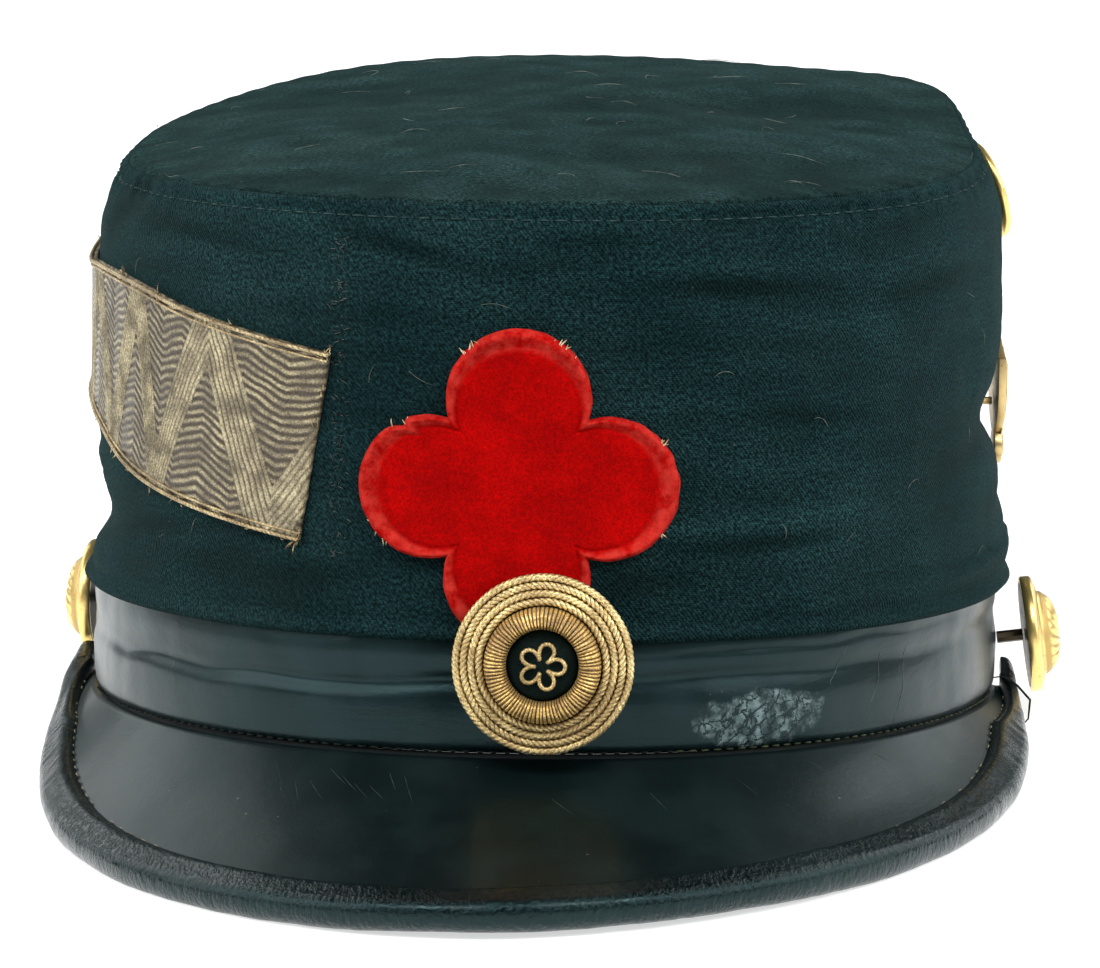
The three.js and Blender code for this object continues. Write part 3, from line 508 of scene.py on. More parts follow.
def along_path(points: Sequence[Vector], share: float) -> Vector:
    """The point at a share of the way along a row of points, by their number."""
    at = min(max(share, 0), 1) * (len(points) - 1)
    index = min(int(at), len(points) - 2)
    return points[index].lerp(points[index + 1], at - index)


def add_tube(
    mesh: bmesh.types.BMesh,
    path: Sequence[Vector],
    radius: Callable[[float, float], float],
    sides: int = 8,
    closed: bool = False,
) -> None:
    """Adds a tube along a path.

    Args:
        mesh: The mesh to add to.
        path: The points of the tube's middle line.
        radius: Its radius, from the share of its length and the angle round it.
        sides: Number of sides.
        closed: Whether the path runs back to its start.
    """
    count = len(path)
    frames = []
    side = Vector((0, 0, 1))
    for i, point in enumerate(path):
        after = path[(i + 1) % count] if closed or i < count - 1 else point
        before = path[i - 1] if closed or i else point
        forward = (after - before).normalized()
        side = side - forward * side.dot(forward)
        if side.length < 1e-6:
            side = forward.orthogonal()
        side.normalize()
        frames.append((point, side.copy(), forward.cross(side)))

    spans = count if closed else count - 1
    full = max(radius(i / 8, 2 * math.pi * j / 12) for i in range(8) for j in range(12)) or 1

    def reach(u: float, v: float) -> float:
        """The tube's radius at shares of the turn round it and of its length."""
        return radius(round(v * spans) / spans, 2 * math.pi * u)

    def surface(u: float, v: float) -> Vector:
        """A point of the tube at the same shares."""
        point, right, up = frames[round(v * spans) % count]
        turn = 2 * math.pi * u
        return point + (right * math.cos(turn) + up * math.sin(turn)) * reach(u, v)

    made = add_sheet(mesh, sides, spans, surface, lambda u, v: step(reach(u, v) / full, 0.6, 1))
    bmesh.ops.remove_doubles(mesh, verts=made, dist=TUBE_WELD)
    if not closed:
        rims = [edge for vert in made if vert.is_valid for edge in vert.link_edges if edge.is_boundary]
        bmesh.ops.holes_fill(mesh, edges=list(set(rims)), sides=sides + 1)


def tube_mesh(
    paths: Sequence[Sequence[Vector]],
    radius: Callable[[float, float], float],
    sides: int = 8,
    closed: bool = False,
) -> bmesh.types.BMesh:
    """A mesh of one tube for each path."""
    mesh = bmesh.new()
    for path in paths:
        add_tube(mesh, path, radius, sides, closed)
    return mesh


def tapered(radius: float) -> Callable[[float, float], float]:
    """A tube radius that narrows to its two ends, as a stitch's or a fibre's does."""
    return lambda share, _: radius * (0.35 + 0.65 * math.sin(math.pi * min(max(share, 0.05), 0.95)))


def roped(radius: float, strands: float, turns: float) -> Callable[[float, float], float]:
    """A tube radius that shows strands laid round each other.

    Args:
        radius: The rope's radius.
        strands: Number of its strands.
        turns: Turns of the lay over its whole length; below 0 the lay runs the other way.

    Returns:
        The radius as a function of the share of the length and the angle round the rope.
    """
    return lambda share, turn: radius * (
        0.68 + 0.32 * abs(math.cos(strands / 2 * (turn - 2 * math.pi * turns * share)))
    )


# Materials


class Graph:
    """A node tree that is being wired."""

    def __init__(self, tree: bpy.types.NodeTree) -> None:
        """Starts from an empty tree."""
        self.tree = tree
        tree.nodes.clear()

    def add(self, kind: str, inputs: dict[Any, Any] | None = None, **settings: Any) -> bpy.types.Node:
        """Adds a node.

        Args:
            kind: The node's type, without its ShaderNode prefix.
            inputs: Socket names or numbers, with a value or another node's output each.
            settings: The node's own properties.

        Returns:
            The node.
        """
        node = self.tree.nodes.new(kind if kind.startswith("Node") else f"ShaderNode{kind}")
        for key, value in settings.items():
            setattr(node, key, value)
        self.feed(node, inputs or {})
        return node

    def feed(self, node: bpy.types.Node, inputs: dict[Any, Any]) -> None:
        """Links or sets a node's inputs.

        Args:
            node: The node.
            inputs: Socket names or numbers, with a value or another node's output each.
        """
        for key, value in inputs.items():
            if isinstance(value, bpy.types.NodeSocket):
                self.tree.links.new(value, node.inputs[key])
            else:
                node.inputs[key].default_value = value

    def math(self, operation: str, a: Any, b: Any = 0.0, c: Any = 0.0) -> bpy.types.NodeSocket:
        """The result of a Math node."""
        return self.add("Math", {0: a, 1: b, 2: c}, operation=operation).outputs[0]

    def mix(self, factor: Any, a: Any, b: Any, blend: str = "MIX") -> bpy.types.NodeSocket:
        """The colour that a Mix node gives."""
        node = self.add("Mix", {0: factor, 6: a, 7: b}, data_type="RGBA", blend_type=blend)
        return node.outputs[2]

    def shaded(self, colour: Any, shade: Any) -> bpy.types.NodeSocket:
        """A colour times a plain value."""
        grey = self.add("CombineColor", {0: shade, 1: shade, 2: shade}).outputs[0]
        return self.mix(1.0, colour, grey, "MULTIPLY")

    def ramp(self, value: Any, low: float, high: float, out_low: float = 0, out_high: float = 1) -> Any:
        """A value moved from one range to another, held inside it."""
        inputs = {0: value, 1: low, 2: high, 3: out_low, 4: out_high}
        return self.add("MapRange", inputs, interpolation_type="SMOOTHSTEP").outputs[0]

    def noise(self, vector: Any, scale: float, detail: float = 4, rough: float = 0.55) -> Any:
        """A noise value at a vector."""
        inputs = {"Vector": vector, "Scale": scale, "Detail": detail, "Roughness": rough}
        return self.add("TexNoise", inputs).outputs[0]

    def group(self, tree: bpy.types.NodeTree, inputs: dict[str, Any]) -> bpy.types.Node:
        """Places a node group."""
        return self.add("Group", inputs, node_tree=tree)


def new_group(name: str, inputs: dict[str, Any], outputs: Sequence[str]) -> tuple[Graph, Any, Any]:
    """Starts a shared node group.

    Args:
        name: Its name.
        inputs: Its inputs with their defaults: a number, or None for a vector.
        outputs: Its float outputs.

    Returns:
        The group's graph, its input node and its output node.
    """
    tree = bpy.data.node_groups.new(name, "ShaderNodeTree")
    for key, value in inputs.items():
        kind = "NodeSocketVector" if value is None else "NodeSocketFloat"
        socket = tree.interface.new_socket(key, in_out="INPUT", socket_type=kind)
        if value is not None:
            socket.default_value = value
    for key in outputs:
        tree.interface.new_socket(key, in_out="OUTPUT", socket_type="NodeSocketFloat")
    graph = Graph(tree)
    return graph, graph.add("NodeGroupInput"), graph.add("NodeGroupOutput")


def make_weave() -> bpy.types.NodeTree:
    """A twill: ribs at a slant crossed by threads, both a little uneven, and wool fuzz over them."""
    inputs = {"Vector": None, "Threads": 1600.0, "Slant": 0.7}
    graph, inside, out = new_group("weave", inputs, ["Height", "Fuzz"])
    vector = inside.outputs["Vector"]
    wobble = graph.noise(vector, 260, 2)
    parts = graph.add("SeparateXYZ", {0: vector}).outputs
    across = graph.math("MULTIPLY", parts[0], inside.outputs["Threads"])
    along = graph.math("MULTIPLY", parts[1], inside.outputs["Threads"])
    slanted = graph.math("MULTIPLY_ADD", along, inside.outputs["Slant"], across)
    rib = graph.math("SINE", graph.math("MULTIPLY_ADD", wobble, 5.0, graph.math("MULTIPLY", slanted, 3.1)))
    thread = graph.math("SINE", graph.math("MULTIPLY_ADD", wobble, 4.0, graph.math("MULTIPLY", along, 6.3)))
    weave = graph.math("MULTIPLY_ADD", thread, 0.4, rib)
    fuzz = graph.noise(vector, 1500, 4, 0.8)
    graph.feed(out, {"Height": graph.math("MULTIPLY_ADD", fuzz, 3.0, weave), "Fuzz": fuzz})
    return graph.tree


def make_grain() -> bpy.types.NodeTree:
    """Leather: pores, fine wrinkles, and cracks where the mask is strong."""
    outputs = ["Height", "Crack", "Smear"]
    graph, inside, out = new_group("leather grain", {"Vector": None, "Cracks": 0.0}, outputs)
    vector = inside.outputs["Vector"]
    pores = graph.noise(vector, 1700, 3, 0.7)
    wrinkles = graph.noise(graph.add("Mapping", {0: vector, 3: (0.5, 0.5, 1.4)}).outputs[0], 620, 4, 0.65)
    broad = graph.noise(vector, 60, 4, 0.5)
    shift = graph.math("MULTIPLY", graph.noise(vector, 240, 4, 0.7), 0.006)
    warp = graph.add("VectorMath", {0: vector, 1: shift}, operation="ADD")
    cells = graph.add(
        "TexVoronoi",
        {"Vector": warp.outputs[0], "Scale": 430.0, "Randomness": 1.0},
        feature="DISTANCE_TO_EDGE",
    ).outputs[0]
    line = graph.ramp(cells, 0.02, 0.12, 1, 0)
    crack = graph.math("MULTIPLY", line, inside.outputs["Cracks"])
    height = graph.math("MULTIPLY_ADD", pores, 0.5, graph.math("MULTIPLY", wrinkles, 1.1))
    height = graph.math("MULTIPLY_ADD", crack, -1.4, height)
    graph.feed(out, {"Height": height, "Crack": crack, "Smear": broad})
    return graph.tree


def make_dust() -> bpy.types.NodeTree:
    """Dust: small sparse specks and a thin, uneven film."""
    graph, inside, out = new_group("dust", {"Vector": None, "Amount": 0.5}, ["Specks", "Film"])
    vector = inside.outputs["Vector"]
    spots = graph.add("TexVoronoi", {"Vector": vector, "Scale": 420.0}).outputs["Distance"]
    chance = graph.noise(vector, 130, 2, 0.5)
    size = graph.ramp(chance, 0.55, 0.85, 0.02, 0.16)
    speck = graph.math("LESS_THAN", spots, size)
    film = graph.ramp(graph.noise(vector, 26, 5, 0.65), 0.4, 0.75)
    for name, value in (("Specks", speck), ("Film", film)):
        graph.feed(out, {name: graph.math("MULTIPLY", value, inside.outputs["Amount"])})
    return graph.tree


class Shared(Enum):
    """The node groups that several finishes use."""

    WEAVE = "weave"
    GRAIN = "leather grain"
    DUST = "dust"

    def tree(self) -> bpy.types.NodeTree:
        """The group, made at its first use."""
        makers = {Shared.WEAVE: make_weave, Shared.GRAIN: make_grain, Shared.DUST: make_dust}
        return bpy.data.node_groups.get(self.value) or makers[self]()


def start_material(name: str) -> tuple[bpy.types.Material, Graph, bpy.types.Node]:
    """A material with its surface shader.

    Args:
        name: The material's name.

    Returns:
        The material, its graph and its Principled BSDF.
    """
    material = bpy.data.materials.new(name)
    material.use_nodes = True
    graph = Graph(material.node_tree)
    shader = graph.add("BsdfPrincipled")
    out = graph.add("OutputMaterial", {"Surface": shader.outputs[0]})
    out.is_active_output = True
    return material, graph, shader


def wire(graph: Graph, shader: bpy.types.Node, **sockets: Any) -> None:
    """Links or sets sockets of the shader, named with underscores for spaces."""
    graph.feed(shader, {key.replace("_", " "): value for key, value in sockets.items()})


def bump(graph: Graph, height: Any, distance: float, strength: float = 1.0, under: Any = None) -> Any:
    """The normal that a height gives, in millimetres."""
    inputs = {"Height": height, "Distance": distance * MM, "Strength": strength}
    if under is not None:
        inputs["Normal"] = under
    return graph.add("Bump", inputs).outputs[0]


def object_vector(graph: Graph) -> Any:
    """Object coordinates."""
    return graph.add("TexCoord").outputs["Object"]


def relief_of(graph: Graph) -> Any:
    """How high a piece's surface stands, as its mesh says."""
    return graph.add("Attribute", attribute_name="relief").outputs["Fac"]


def uv_vector(graph: Graph, scale: Point) -> Any:
    """The UV map, scaled to metres."""
    return graph.add("Mapping", {0: graph.add("UVMap").outputs[0], 3: scale}).outputs[0]


@dataclass(frozen=True)
class ClothFinish:
    """Black wool cloth, faded and dusty, with painted shade in its weave's grooves and creases and painted
    light on their ridges.

    Attributes:
        name: The material's name.
        dark: Its colour in the folds of the weave.
        pale: Its faded colour.
        size: The sheet's real width and height in metres, for its UV map, or None where it lies flat.
        dust: How much dust lies on it.
    """

    name: str
    dark: Point
    pale: Point
    size: tuple[float, float] | None
    dust: float

    def build(self) -> bpy.types.Material:
        """Makes the material."""
        material, graph, shader = start_material(self.name)
        where = object_vector(graph)
        cut = uv_vector(graph, (*self.size, 1)) if self.size else where
        woven = graph.group(Shared.WEAVE.tree(), {"Vector": cut, "Threads": 2800})
        dust = graph.group(Shared.DUST.tree(), {"Vector": where, "Amount": self.dust})
        fade = graph.ramp(graph.noise(where, 34, 5, 0.6), 0.35, 0.72)
        colour = graph.mix(fade, (*self.dark, 1), (*self.pale, 1))
        fuzz = graph.ramp(woven.outputs["Fuzz"], 0.38, 0.7, 0.2, 2.6)
        # Painted shade: the cloth's colour is darker where the weave's height (with its fuzz) is low and
        # lighter on its ribs.
        ribbed = graph.ramp(woven.outputs["Height"], 0.4, 2.8, 0.75, 1.25)
        # Painted shade and light: the mesh's relief darkens the cloth in its creases and lightens it on their
        # ridges.
        folded = graph.ramp(relief_of(graph), 0.1, 0.9, 0.5, 1.5)
        shade = graph.math("MULTIPLY", fuzz, graph.math("MULTIPLY", ribbed, folded))
        colour = graph.shaded(colour, shade)
        colour = graph.mix(graph.math("MULTIPLY", dust.outputs["Film"], 0.16), colour, (0.07, 0.1, 0.096, 1))
        colour = graph.mix(dust.outputs["Specks"], colour, (0.2, 0.23, 0.2, 1))
        rough = graph.ramp(fade, 0, 1, 0.85, 0.97)
        wire(
            graph,
            shader,
            Base_Color=colour,
            Roughness=rough,
            Normal=bump(graph, woven.outputs["Height"], 0.09, 0.9),
            Sheen_Weight=0.03,
            Sheen_Roughness=0.5,
            Sheen_Tint=(0.4, 0.95, 0.95, 1),
            Specular_IOR_Level=0.06,
            Specular_Tint=(0.4, 1, 1, 1),
        )
        return material


@dataclass(frozen=True)
class LeatherFinish:
    """Black polished leather with pores, smears and cracks.

    Attributes:
        name: The material's name.
        colour: Its colour where it is clean.
        worn: Its colour where it is rubbed.
        gloss: Roughness where it is polished.
        crack_spot: The middle, in the table's frame, of the place that is flaked and cracked, if it has one.
        crack_reach: How far that place reaches, in metres.
        creased: Real length and width in metres of a rolled sheet, for its UV map, that is creased across.
    """

    name: str
    colour: Point
    worn: Point
    gloss: float
    crack_spot: Point | None = None
    crack_reach: float = 0.012
    creased: tuple[float, float] | None = None

    def flaked(self, graph: Graph, where: Any) -> Any:
        """How strongly a place is flaked and cracked, 0 to 1."""
        offset = graph.add("VectorMath", {0: where, 1: self.crack_spot}, operation="SUBTRACT").outputs[0]
        flat = graph.add("VectorMath", {0: offset, 1: (1, 1, 2.6)}, operation="MULTIPLY").outputs[0]
        away = graph.add("VectorMath", {0: flat}, operation="LENGTH").outputs["Value"]
        ragged = graph.math("MULTIPLY_ADD", graph.noise(where, 260, 4, 0.7), 0.016, away)
        return graph.ramp(ragged, self.crack_reach * 0.7 + 0.008, self.crack_reach + 0.008, 1, 0.0)

    def build(self) -> bpy.types.Material:
        """Makes the material."""
        material, graph, shader = start_material(self.name)
        where = object_vector(graph)
        flaked = self.flaked(graph, where) if self.crack_spot else 0.0
        grain = graph.group(Shared.GRAIN.tree(), {"Vector": where, "Cracks": flaked})
        dust = graph.group(Shared.DUST.tree(), {"Vector": where, "Amount": 0.5})
        rubbed = graph.ramp(grain.outputs["Smear"], 0.42, 0.7)
        colour = graph.mix(rubbed, (*self.colour, 1), (*self.worn, 1))
        if self.crack_spot:
            tone = graph.ramp(graph.noise(where, 420, 3, 0.6), 0.35, 0.7, 0.1, 0.9)
            colour = graph.mix(graph.math("MULTIPLY", flaked, tone), colour, (0.21, 0.28, 0.285, 1))
            colour = graph.mix(grain.outputs["Crack"], colour, (0.002, 0.005, 0.005, 1))
        colour = graph.mix(dust.outputs["Specks"], colour, (0.16, 0.18, 0.15, 1))
        rough = graph.math("MULTIPLY_ADD", rubbed, 0.07, self.gloss)
        rough = graph.math("MULTIPLY_ADD", dust.outputs["Film"], 0.1, rough)
        normal = bump(graph, grain.outputs["Height"], 0.12, 0.5)
        if self.creased:
            long, wide = self.creased
            crease = graph.noise(uv_vector(graph, (long, wide * 0.3, 1)), 1100, 4, 0.6)
            normal = bump(graph, graph.ramp(crease, 0.35, 0.6), 0.22, 0.5, normal)
        wire(
            graph,
            shader,
            Base_Color=colour,
            Roughness=rough,
            Normal=normal,
            Coat_Weight=0.06,
            Coat_Roughness=0.12,
            Specular_IOR_Level=0.25,
            Specular_Tint=(0.5, 0.95, 1, 1),
        )
        return material


@dataclass(frozen=True)
class VelvetFinish:
    """Cotton velvet: deep colour, paler nap and a painted highlight along the folded edge, scuffs.

    Attributes:
        name: The material's name.
        deep: The pile's colour.
        lit: Its colour where the pile is turned.
        edge_from: The share of the way out at which the folded edge begins, or 1 for none.
    """

    name: str
    deep: Point
    lit: Point
    edge_from: float = 1.0

    def build(self) -> bpy.types.Material:
        """Makes the material."""
        material, graph, shader = start_material(self.name)
        where = object_vector(graph)
        pile = graph.noise(where, 2200, 3, 0.7)
        brush = graph.ramp(graph.noise(where, 120, 4, 0.6), 0.35, 0.7)
        colour = graph.mix(graph.math("MULTIPLY", brush, 0.35), (*self.deep, 1), (*self.lit, 1))
        colour = graph.shaded(colour, graph.ramp(pile, 0.35, 0.7, 0.72, 1.25))
        if self.edge_from < 1:
            out = graph.add("SeparateXYZ", {0: graph.add("UVMap").outputs[0]}).outputs[1]
            fold = graph.ramp(out, self.edge_from - 0.02, self.edge_from + 0.06)
            tip = graph.ramp(out, 0.93, 0.985)
            nap = graph.ramp(graph.noise(where, 420, 4, 0.7), 0.3, 0.66)
            # Lighter red along the folded edge: partly paler nap, partly a painted highlight on the rounded
            # fold.
            folded = graph.math("MULTIPLY", fold, graph.math("MULTIPLY", nap, 0.6))
            frayed = graph.math("MULTIPLY", tip, graph.ramp(nap, 0.7, 1))
            colour = graph.mix(folded, colour, (0.62, 0.05, 0.035, 1))
            colour = graph.mix(frayed, colour, (0.55, 0.3, 0.17, 1))
        wire(
            graph,
            shader,
            Base_Color=colour,
            Roughness=graph.ramp(pile, 0, 1, 0.8, 1),
            Normal=bump(graph, pile, 0.12, 0.8),
            Sheen_Weight=0.04,
            Sheen_Roughness=0.4,
            Sheen_Tint=(*self.lit, 1),
            Specular_IOR_Level=0.04,
        )
        return material


@dataclass(frozen=True)
class MetalThreadFinish:
    """Gilt or silver thread wound over a core, with tarnish in the hollows.

    Attributes:
        name: The material's name.
        bright: The clean metal's colour.
        dull: The tarnished colour.
        hollow: The colour between its strands.
        winding: Turns of the winding per metre of object space.
        metallic: How metallic it looks.
    """

    name: str
    bright: Point
    dull: Point
    hollow: Point
    winding: float = 2600
    metallic: float = 0.75

    def build(self) -> bpy.types.Material:
        """Makes the material."""
        material, graph, shader = start_material(self.name)
        where = object_vector(graph)
        fine = graph.noise(where, self.winding, 2, 0.6)
        stain = graph.ramp(graph.noise(where, 210, 4, 0.6), 0.32, 0.7)
        colour = graph.mix(stain, (*self.dull, 1), (*self.bright, 1))
        colour = graph.mix(graph.ramp(relief_of(graph), 0.1, 0.75), (*self.hollow, 1), colour)
        colour = graph.shaded(colour, graph.ramp(fine, 0.3, 0.7, 0.5, 1.25))
        wire(
            graph,
            shader,
            Base_Color=colour,
            Metallic=graph.ramp(stain, 0, 1, self.metallic - 0.3, self.metallic),
            Roughness=graph.ramp(fine, 0.2, 0.8, 0.52, 0.34),
            Normal=bump(graph, fine, 0.08, 0.9),
        )
        return material


@dataclass(frozen=True)
class BrassFinish:
    """Pressed brass with tarnish in patches, specks and fine scratches.

    Attributes:
        name: The material's name.
        bright: The clean colour.
        tarnish: The stained colour.
        stained: How much of it is stained, 0 to 1.
        rough: Roughness where it is clean.
        grime: How much dirt lies in the hollows of its pressed relief.
    """

    name: str
    bright: Point
    tarnish: Point
    stained: float
    rough: float = 0.28
    grime: float = 0

    def build(self) -> bpy.types.Material:
        """Makes the material."""
        material, graph, shader = start_material(self.name)
        where = object_vector(graph)
        low, high = 0.72 - 0.3 * self.stained, 0.9 - 0.2 * self.stained
        patch = graph.ramp(graph.noise(where, 240, 5, 0.65), low, high)
        specks = graph.ramp(graph.noise(where, 1700, 3, 0.6), 0.6, 0.72)
        stain = graph.math("MAXIMUM", patch, graph.math("MULTIPLY", specks, 0.7))
        if self.grime:
            sunk = graph.ramp(relief_of(graph), 0.05, 0.6, self.grime, 0)
            stain = graph.math("MAXIMUM", stain, sunk)
        colour = graph.mix(stain, (*self.bright, 1), (*self.tarnish, 1))
        scratch = graph.noise(graph.add("Mapping", {0: where, 3: (1, 1, 9)}).outputs[0], 700, 3, 0.7)
        wire(
            graph,
            shader,
            Base_Color=colour,
            Metallic=graph.ramp(stain, 0, 1, 0.95, 0.6),
            Roughness=graph.math("MULTIPLY_ADD", stain, 0.3, self.rough),
            Normal=bump(graph, graph.math("ADD", scratch, specks), 0.03, 0.6),
        )
        return material


@dataclass(frozen=True)
class ThreadFinish:
    """Sewing thread or loose fibre.

    Attributes:
        name: The material's name.
        colour: Its colour.
        faded: Its faded colour.
    """

    name: str
    colour: Point
    faded: Point

    def build(self) -> bpy.types.Material:
        """Makes the material."""
        material, graph, shader = start_material(self.name)
        where = object_vector(graph)
        mottle = graph.noise(where, 500, 3)
        colour = graph.mix(graph.ramp(mottle, 0.35, 0.65), (*self.colour, 1), (*self.faded, 1))
        wire(
            graph,
            shader,
            Base_Color=colour,
            Roughness=graph.ramp(mottle, 0, 1, 0.75, 0.95),
            Normal=bump(graph, graph.noise(where, 3500, 2), 0.05, 0.8),
            Sheen_Weight=0.02,
            Specular_IOR_Level=0.15,
        )
        return material


# Pieces


def spread(low: float, high: float, count: int) -> list[float]:
    """Evenly spaced values, both ends included."""
    return [low + (high - low) * i / (count - 1) for i in range(count)]


def lofted(
    turns: Sequence[float],
    section: Callable[[float], list[Vector]],
    relief: Callable[[float, float], float] | None = None,
    capped: bool = False,
) -> bmesh.types.BMesh:
    """A closed mesh over the sections that a function gives at a row of turns.

    Args:
        turns: The turns, the last on the first where the piece is a ring.
        section: The section at a turn: a row of points whose ends meet or lie on the axis.
        relief: How high the surface stands at shares of the row of turns and of the section.
        capped: Whether the first and last sections are closed with a face.

    Returns:
        The mesh.
    """
    sections = [section(turn) for turn in turns]
    spans, rows = len(turns) - 1, len(sections[0]) - 1
    return shell_mesh(spans, rows, lambda u, v: sections[round(u * spans)][round(v * rows)], relief, capped)


def turned(profile: Sequence[tuple[float, float]], steps: int = 96) -> bmesh.types.BMesh:
    """A round mesh about its own Z axis, from distance and height pairs."""
    return lofted(
        spread(0, 2 * math.pi, steps + 1),
        lambda turn: [Vector((d * math.cos(turn), d * math.sin(turn), h)) for d, h in profile],
    )


def wall_normal(angle: float) -> Vector:
    """Direction straight out of the wall, level, at an angle."""
    ahead, behind = (FORM.on_wall(angle + math.radians(turn), 0.5) for turn in (1, -1))
    tangent = ahead - behind
    return Vector((tangent.y, -tangent.x, 0)).normalized()


def seat(point: Vector, outward: Vector, lean: float) -> Matrix:
    """A frame whose Z axis looks out of the wall and whose Y axis looks up, leaned back by some degrees."""
    up = Vector((0, 0, 1))
    side = up.cross(outward).normalized()
    basis = Matrix((side, up, outward)).transposed().to_4x4()
    return Matrix.Translation(point) @ basis @ Matrix.Rotation(math.radians(-lean), 4, "X")


def moved(mesh: bmesh.types.BMesh, matrix: Matrix) -> bmesh.types.BMesh:
    """Moves a mesh from a frame of its own to the upright frame."""
    bmesh.ops.transform(mesh, matrix=matrix, verts=mesh.verts)
    return mesh


def fibre(
    surface: Callable[[float, float, float], Vector], at: Point, bend: float, lift: float, steps: int = 7
) -> list[Vector]:
    """The path of a loose fibre on a surface.

    Args:
        surface: The surface's point at two millimetre coordinates and a distance clear of it.
        at: The fibre's first coordinates and its heading, in radians; its length follows from the heading's
            fraction of a turn.
        bend: How far its heading turns along it.
        lift: How far its middle stands off the surface.
        steps: Number of straight runs that it is made of.

    Returns:
        The path.
    """
    x, y, heading = at
    length = 2 + 7 * (heading / (2 * math.pi))
    path = []
    for t in spread(0, 1, steps + 1):
        path.append(surface(x, y, 0.06 + lift * math.sin(math.pi * t)))
        x += length / steps * math.cos(heading + bend * t)
        y += length / steps * math.sin(heading + bend * t)
    return path


@dataclass
class Crown:
    """The cloth crown: wall, top panel, topstitching, lint and the marks of a strip that was taken off.

    Attributes:
        steps: Cells round the crown.
        outer_rows: Cells up the outer face of the wall.
        back_rows: Cells from its rim down its inner face and round its hem.
        panel_rows: Cells from the middle of the top panel to its border.
        panel_back_rows: Cells back underneath it.
        crowding: How strongly the panel's cells crowd towards its border; 1 is evenly.
        rim: How far the wall reaches above the top panel's underside.
        stitch_below: How far the topstitching lies below the CAD wall's edge.
        stitch_pitch: Length of a stitch with its gap.
        edge_girth: Length of the topstitching round the crown.
        stitched: The share of a stitch's pitch that its thread covers.
        fade_angle: Where the faded upright line lies, in degrees.
        top_fibres: Number of loose fibres on the top panel.
        wall_fibres: Number of loose fibres on the wall.
        fluff_fibres: Number of short fibres along the faded line.
    """

    steps: int = 560
    outer_rows: int = 88
    back_rows: int = 13
    panel_rows: int = 56
    panel_back_rows: int = 5
    crowding: float = 1.5
    rim: float = 2
    stitch_below: float = 0.6
    stitch_pitch: float = 2.9
    edge_girth: float = 590
    stitched: float = 0.72
    fade_angle: float = -18.2
    top_fibres: int = 40
    wall_fibres: int = 22
    fluff_fibres: int = 110

    def creases(self, angle: float, share: float) -> float:
        """How far the cloth's shallow creases stand out, at an angle and a share of the wall."""
        around = polar(angle, 1, 0)
        fine = 0.22 * noise.noise(around * 4.5 + Vector((1, 0, share * 17)))
        fine += 0.1 * noise.noise(around * 11 + Vector((4, 0, share * 34)))
        return fine * step(share, 0, 0.05) - fold_sum(CLOTH_CREASES, math.degrees(angle), share)

    def relief(self, angle: float, below: float, share: float) -> float:
        """How far the wall's own small folds stand out.

        Args:
            angle: Angle from straight ahead.
            below: Distance below the CAD wall's edge.
            share: The same height as a share of the wall.

        Returns:
            Millimetres outwards.
        """
        degrees = math.degrees(angle)
        around = polar(angle, 1, 0)
        soft = 0.5 * noise.noise(around * 3.3 + Vector((0, 0, share * 2.4)))
        soft += 0.2 * noise.noise(around * 10 + Vector((3, 1, share * 7)))
        soft += 0.07 * noise.noise(around * 34 + Vector((0, 7, share * 20)))
        strength = 0.3 + bell(degrees, -66, 20) + 0.9 * bell(degrees, 44, 22) + 0.5 * bell(degrees, 82, 14)
        wave = math.sin(degrees * 1.35 + 4 * noise.noise(around * 7))
        pucker = 0.34 * strength * wave * bell(below, -0.2, 2.6)
        groove = -0.22 * bell(below, self.stitch_below, 0.7)
        ripple = (
            0.34 * math.sin(share * 78 + degrees * 0.05) * bell(degrees, -84, 24) * bell(share, 0.25, 0.1)
        )
        sag = 0.25 * math.sin(share * 40 + degrees * 0.09) * bell(degrees, 78, 20) * bell(share, 0.44, 0.12)
        welt_at = read_rows(((14, -0.02), (36, 0.09), (60, 0.11), (92, 0.13)), degrees)
        reach = step(degrees, 14, 24) * (1 - step(degrees, 96, 116))
        welt = reach * (0.45 * step(welt_at - share, 0, 0.012) - 0.28 * bell(share, welt_at, 0.009))
        roll = 0.3 * bell(share, 0.014, 0.016)
        small = self.creases(angle, share)
        return soft * step(share, 0, 0.06) + small + pucker + groove + ripple + sag + welt + roll

    def shading(self, u: float, v: float) -> float:
        """How high the wall's cloth stands, for its painted shade and light, at shares of the turn and of the
        section.
        """
        rows = self.outer_rows + self.back_rows
        share = min(v * rows / self.outer_rows, 1)
        return 0.5 + self.creases(math.pi * (2 * u - 1), share) / 1.2

    def on_cloth(self, angle: float, rise: float, lift: float = 0) -> Vector:
        """A point of the finished wall.

        Args:
            angle: Angle from straight ahead.
            rise: Height above the hem.
            lift: Distance clear of it.

        Returns:
            The point.
        """
        tall = FORM.edge_height(angle) - FORM.hem
        share = rise / tall
        radius = FORM.wall_radius(angle, min(share, 1)) + self.relief(angle, tall - rise, share)
        over = min(max(rise - tall - self.rim + 1, 0), 1)
        return polar(angle, radius - 1 + math.sqrt(1 - over * over) + lift, FORM.hem + rise)

    def wall_section(self, angle: float) -> list[Vector]:
        """The wall's section: up its outer face, over its rim and down inside."""
        tall = FORM.edge_height(angle) - FORM.hem + self.rim
        outer = [self.on_cloth(angle, rise) for rise in spread(0, tall, self.outer_rows + 1)]
        foot = FORM.band_height + GAP
        under_hem = FORM.band_radius(angle, FORM.hem / FORM.band_height) + GAP
        rim = polar(angle, FORM.wall_radius(angle, 1) - FORM.cloth, FORM.hem + tall)
        shares = (1, 0.92, 0.76, 0.62, 0.48, 0.32, 0.2, 0.14)
        inner = [FORM.on_wall(angle, share, -FORM.cloth) for share in shares]
        hem = [
            polar(angle, FORM.inner_radius(angle) + GAP, foot),
            polar(angle, under_hem, foot),
            polar(angle, under_hem, FORM.hem),
        ]
        return [*outer, rim, *inner, *hem, outer[0]]

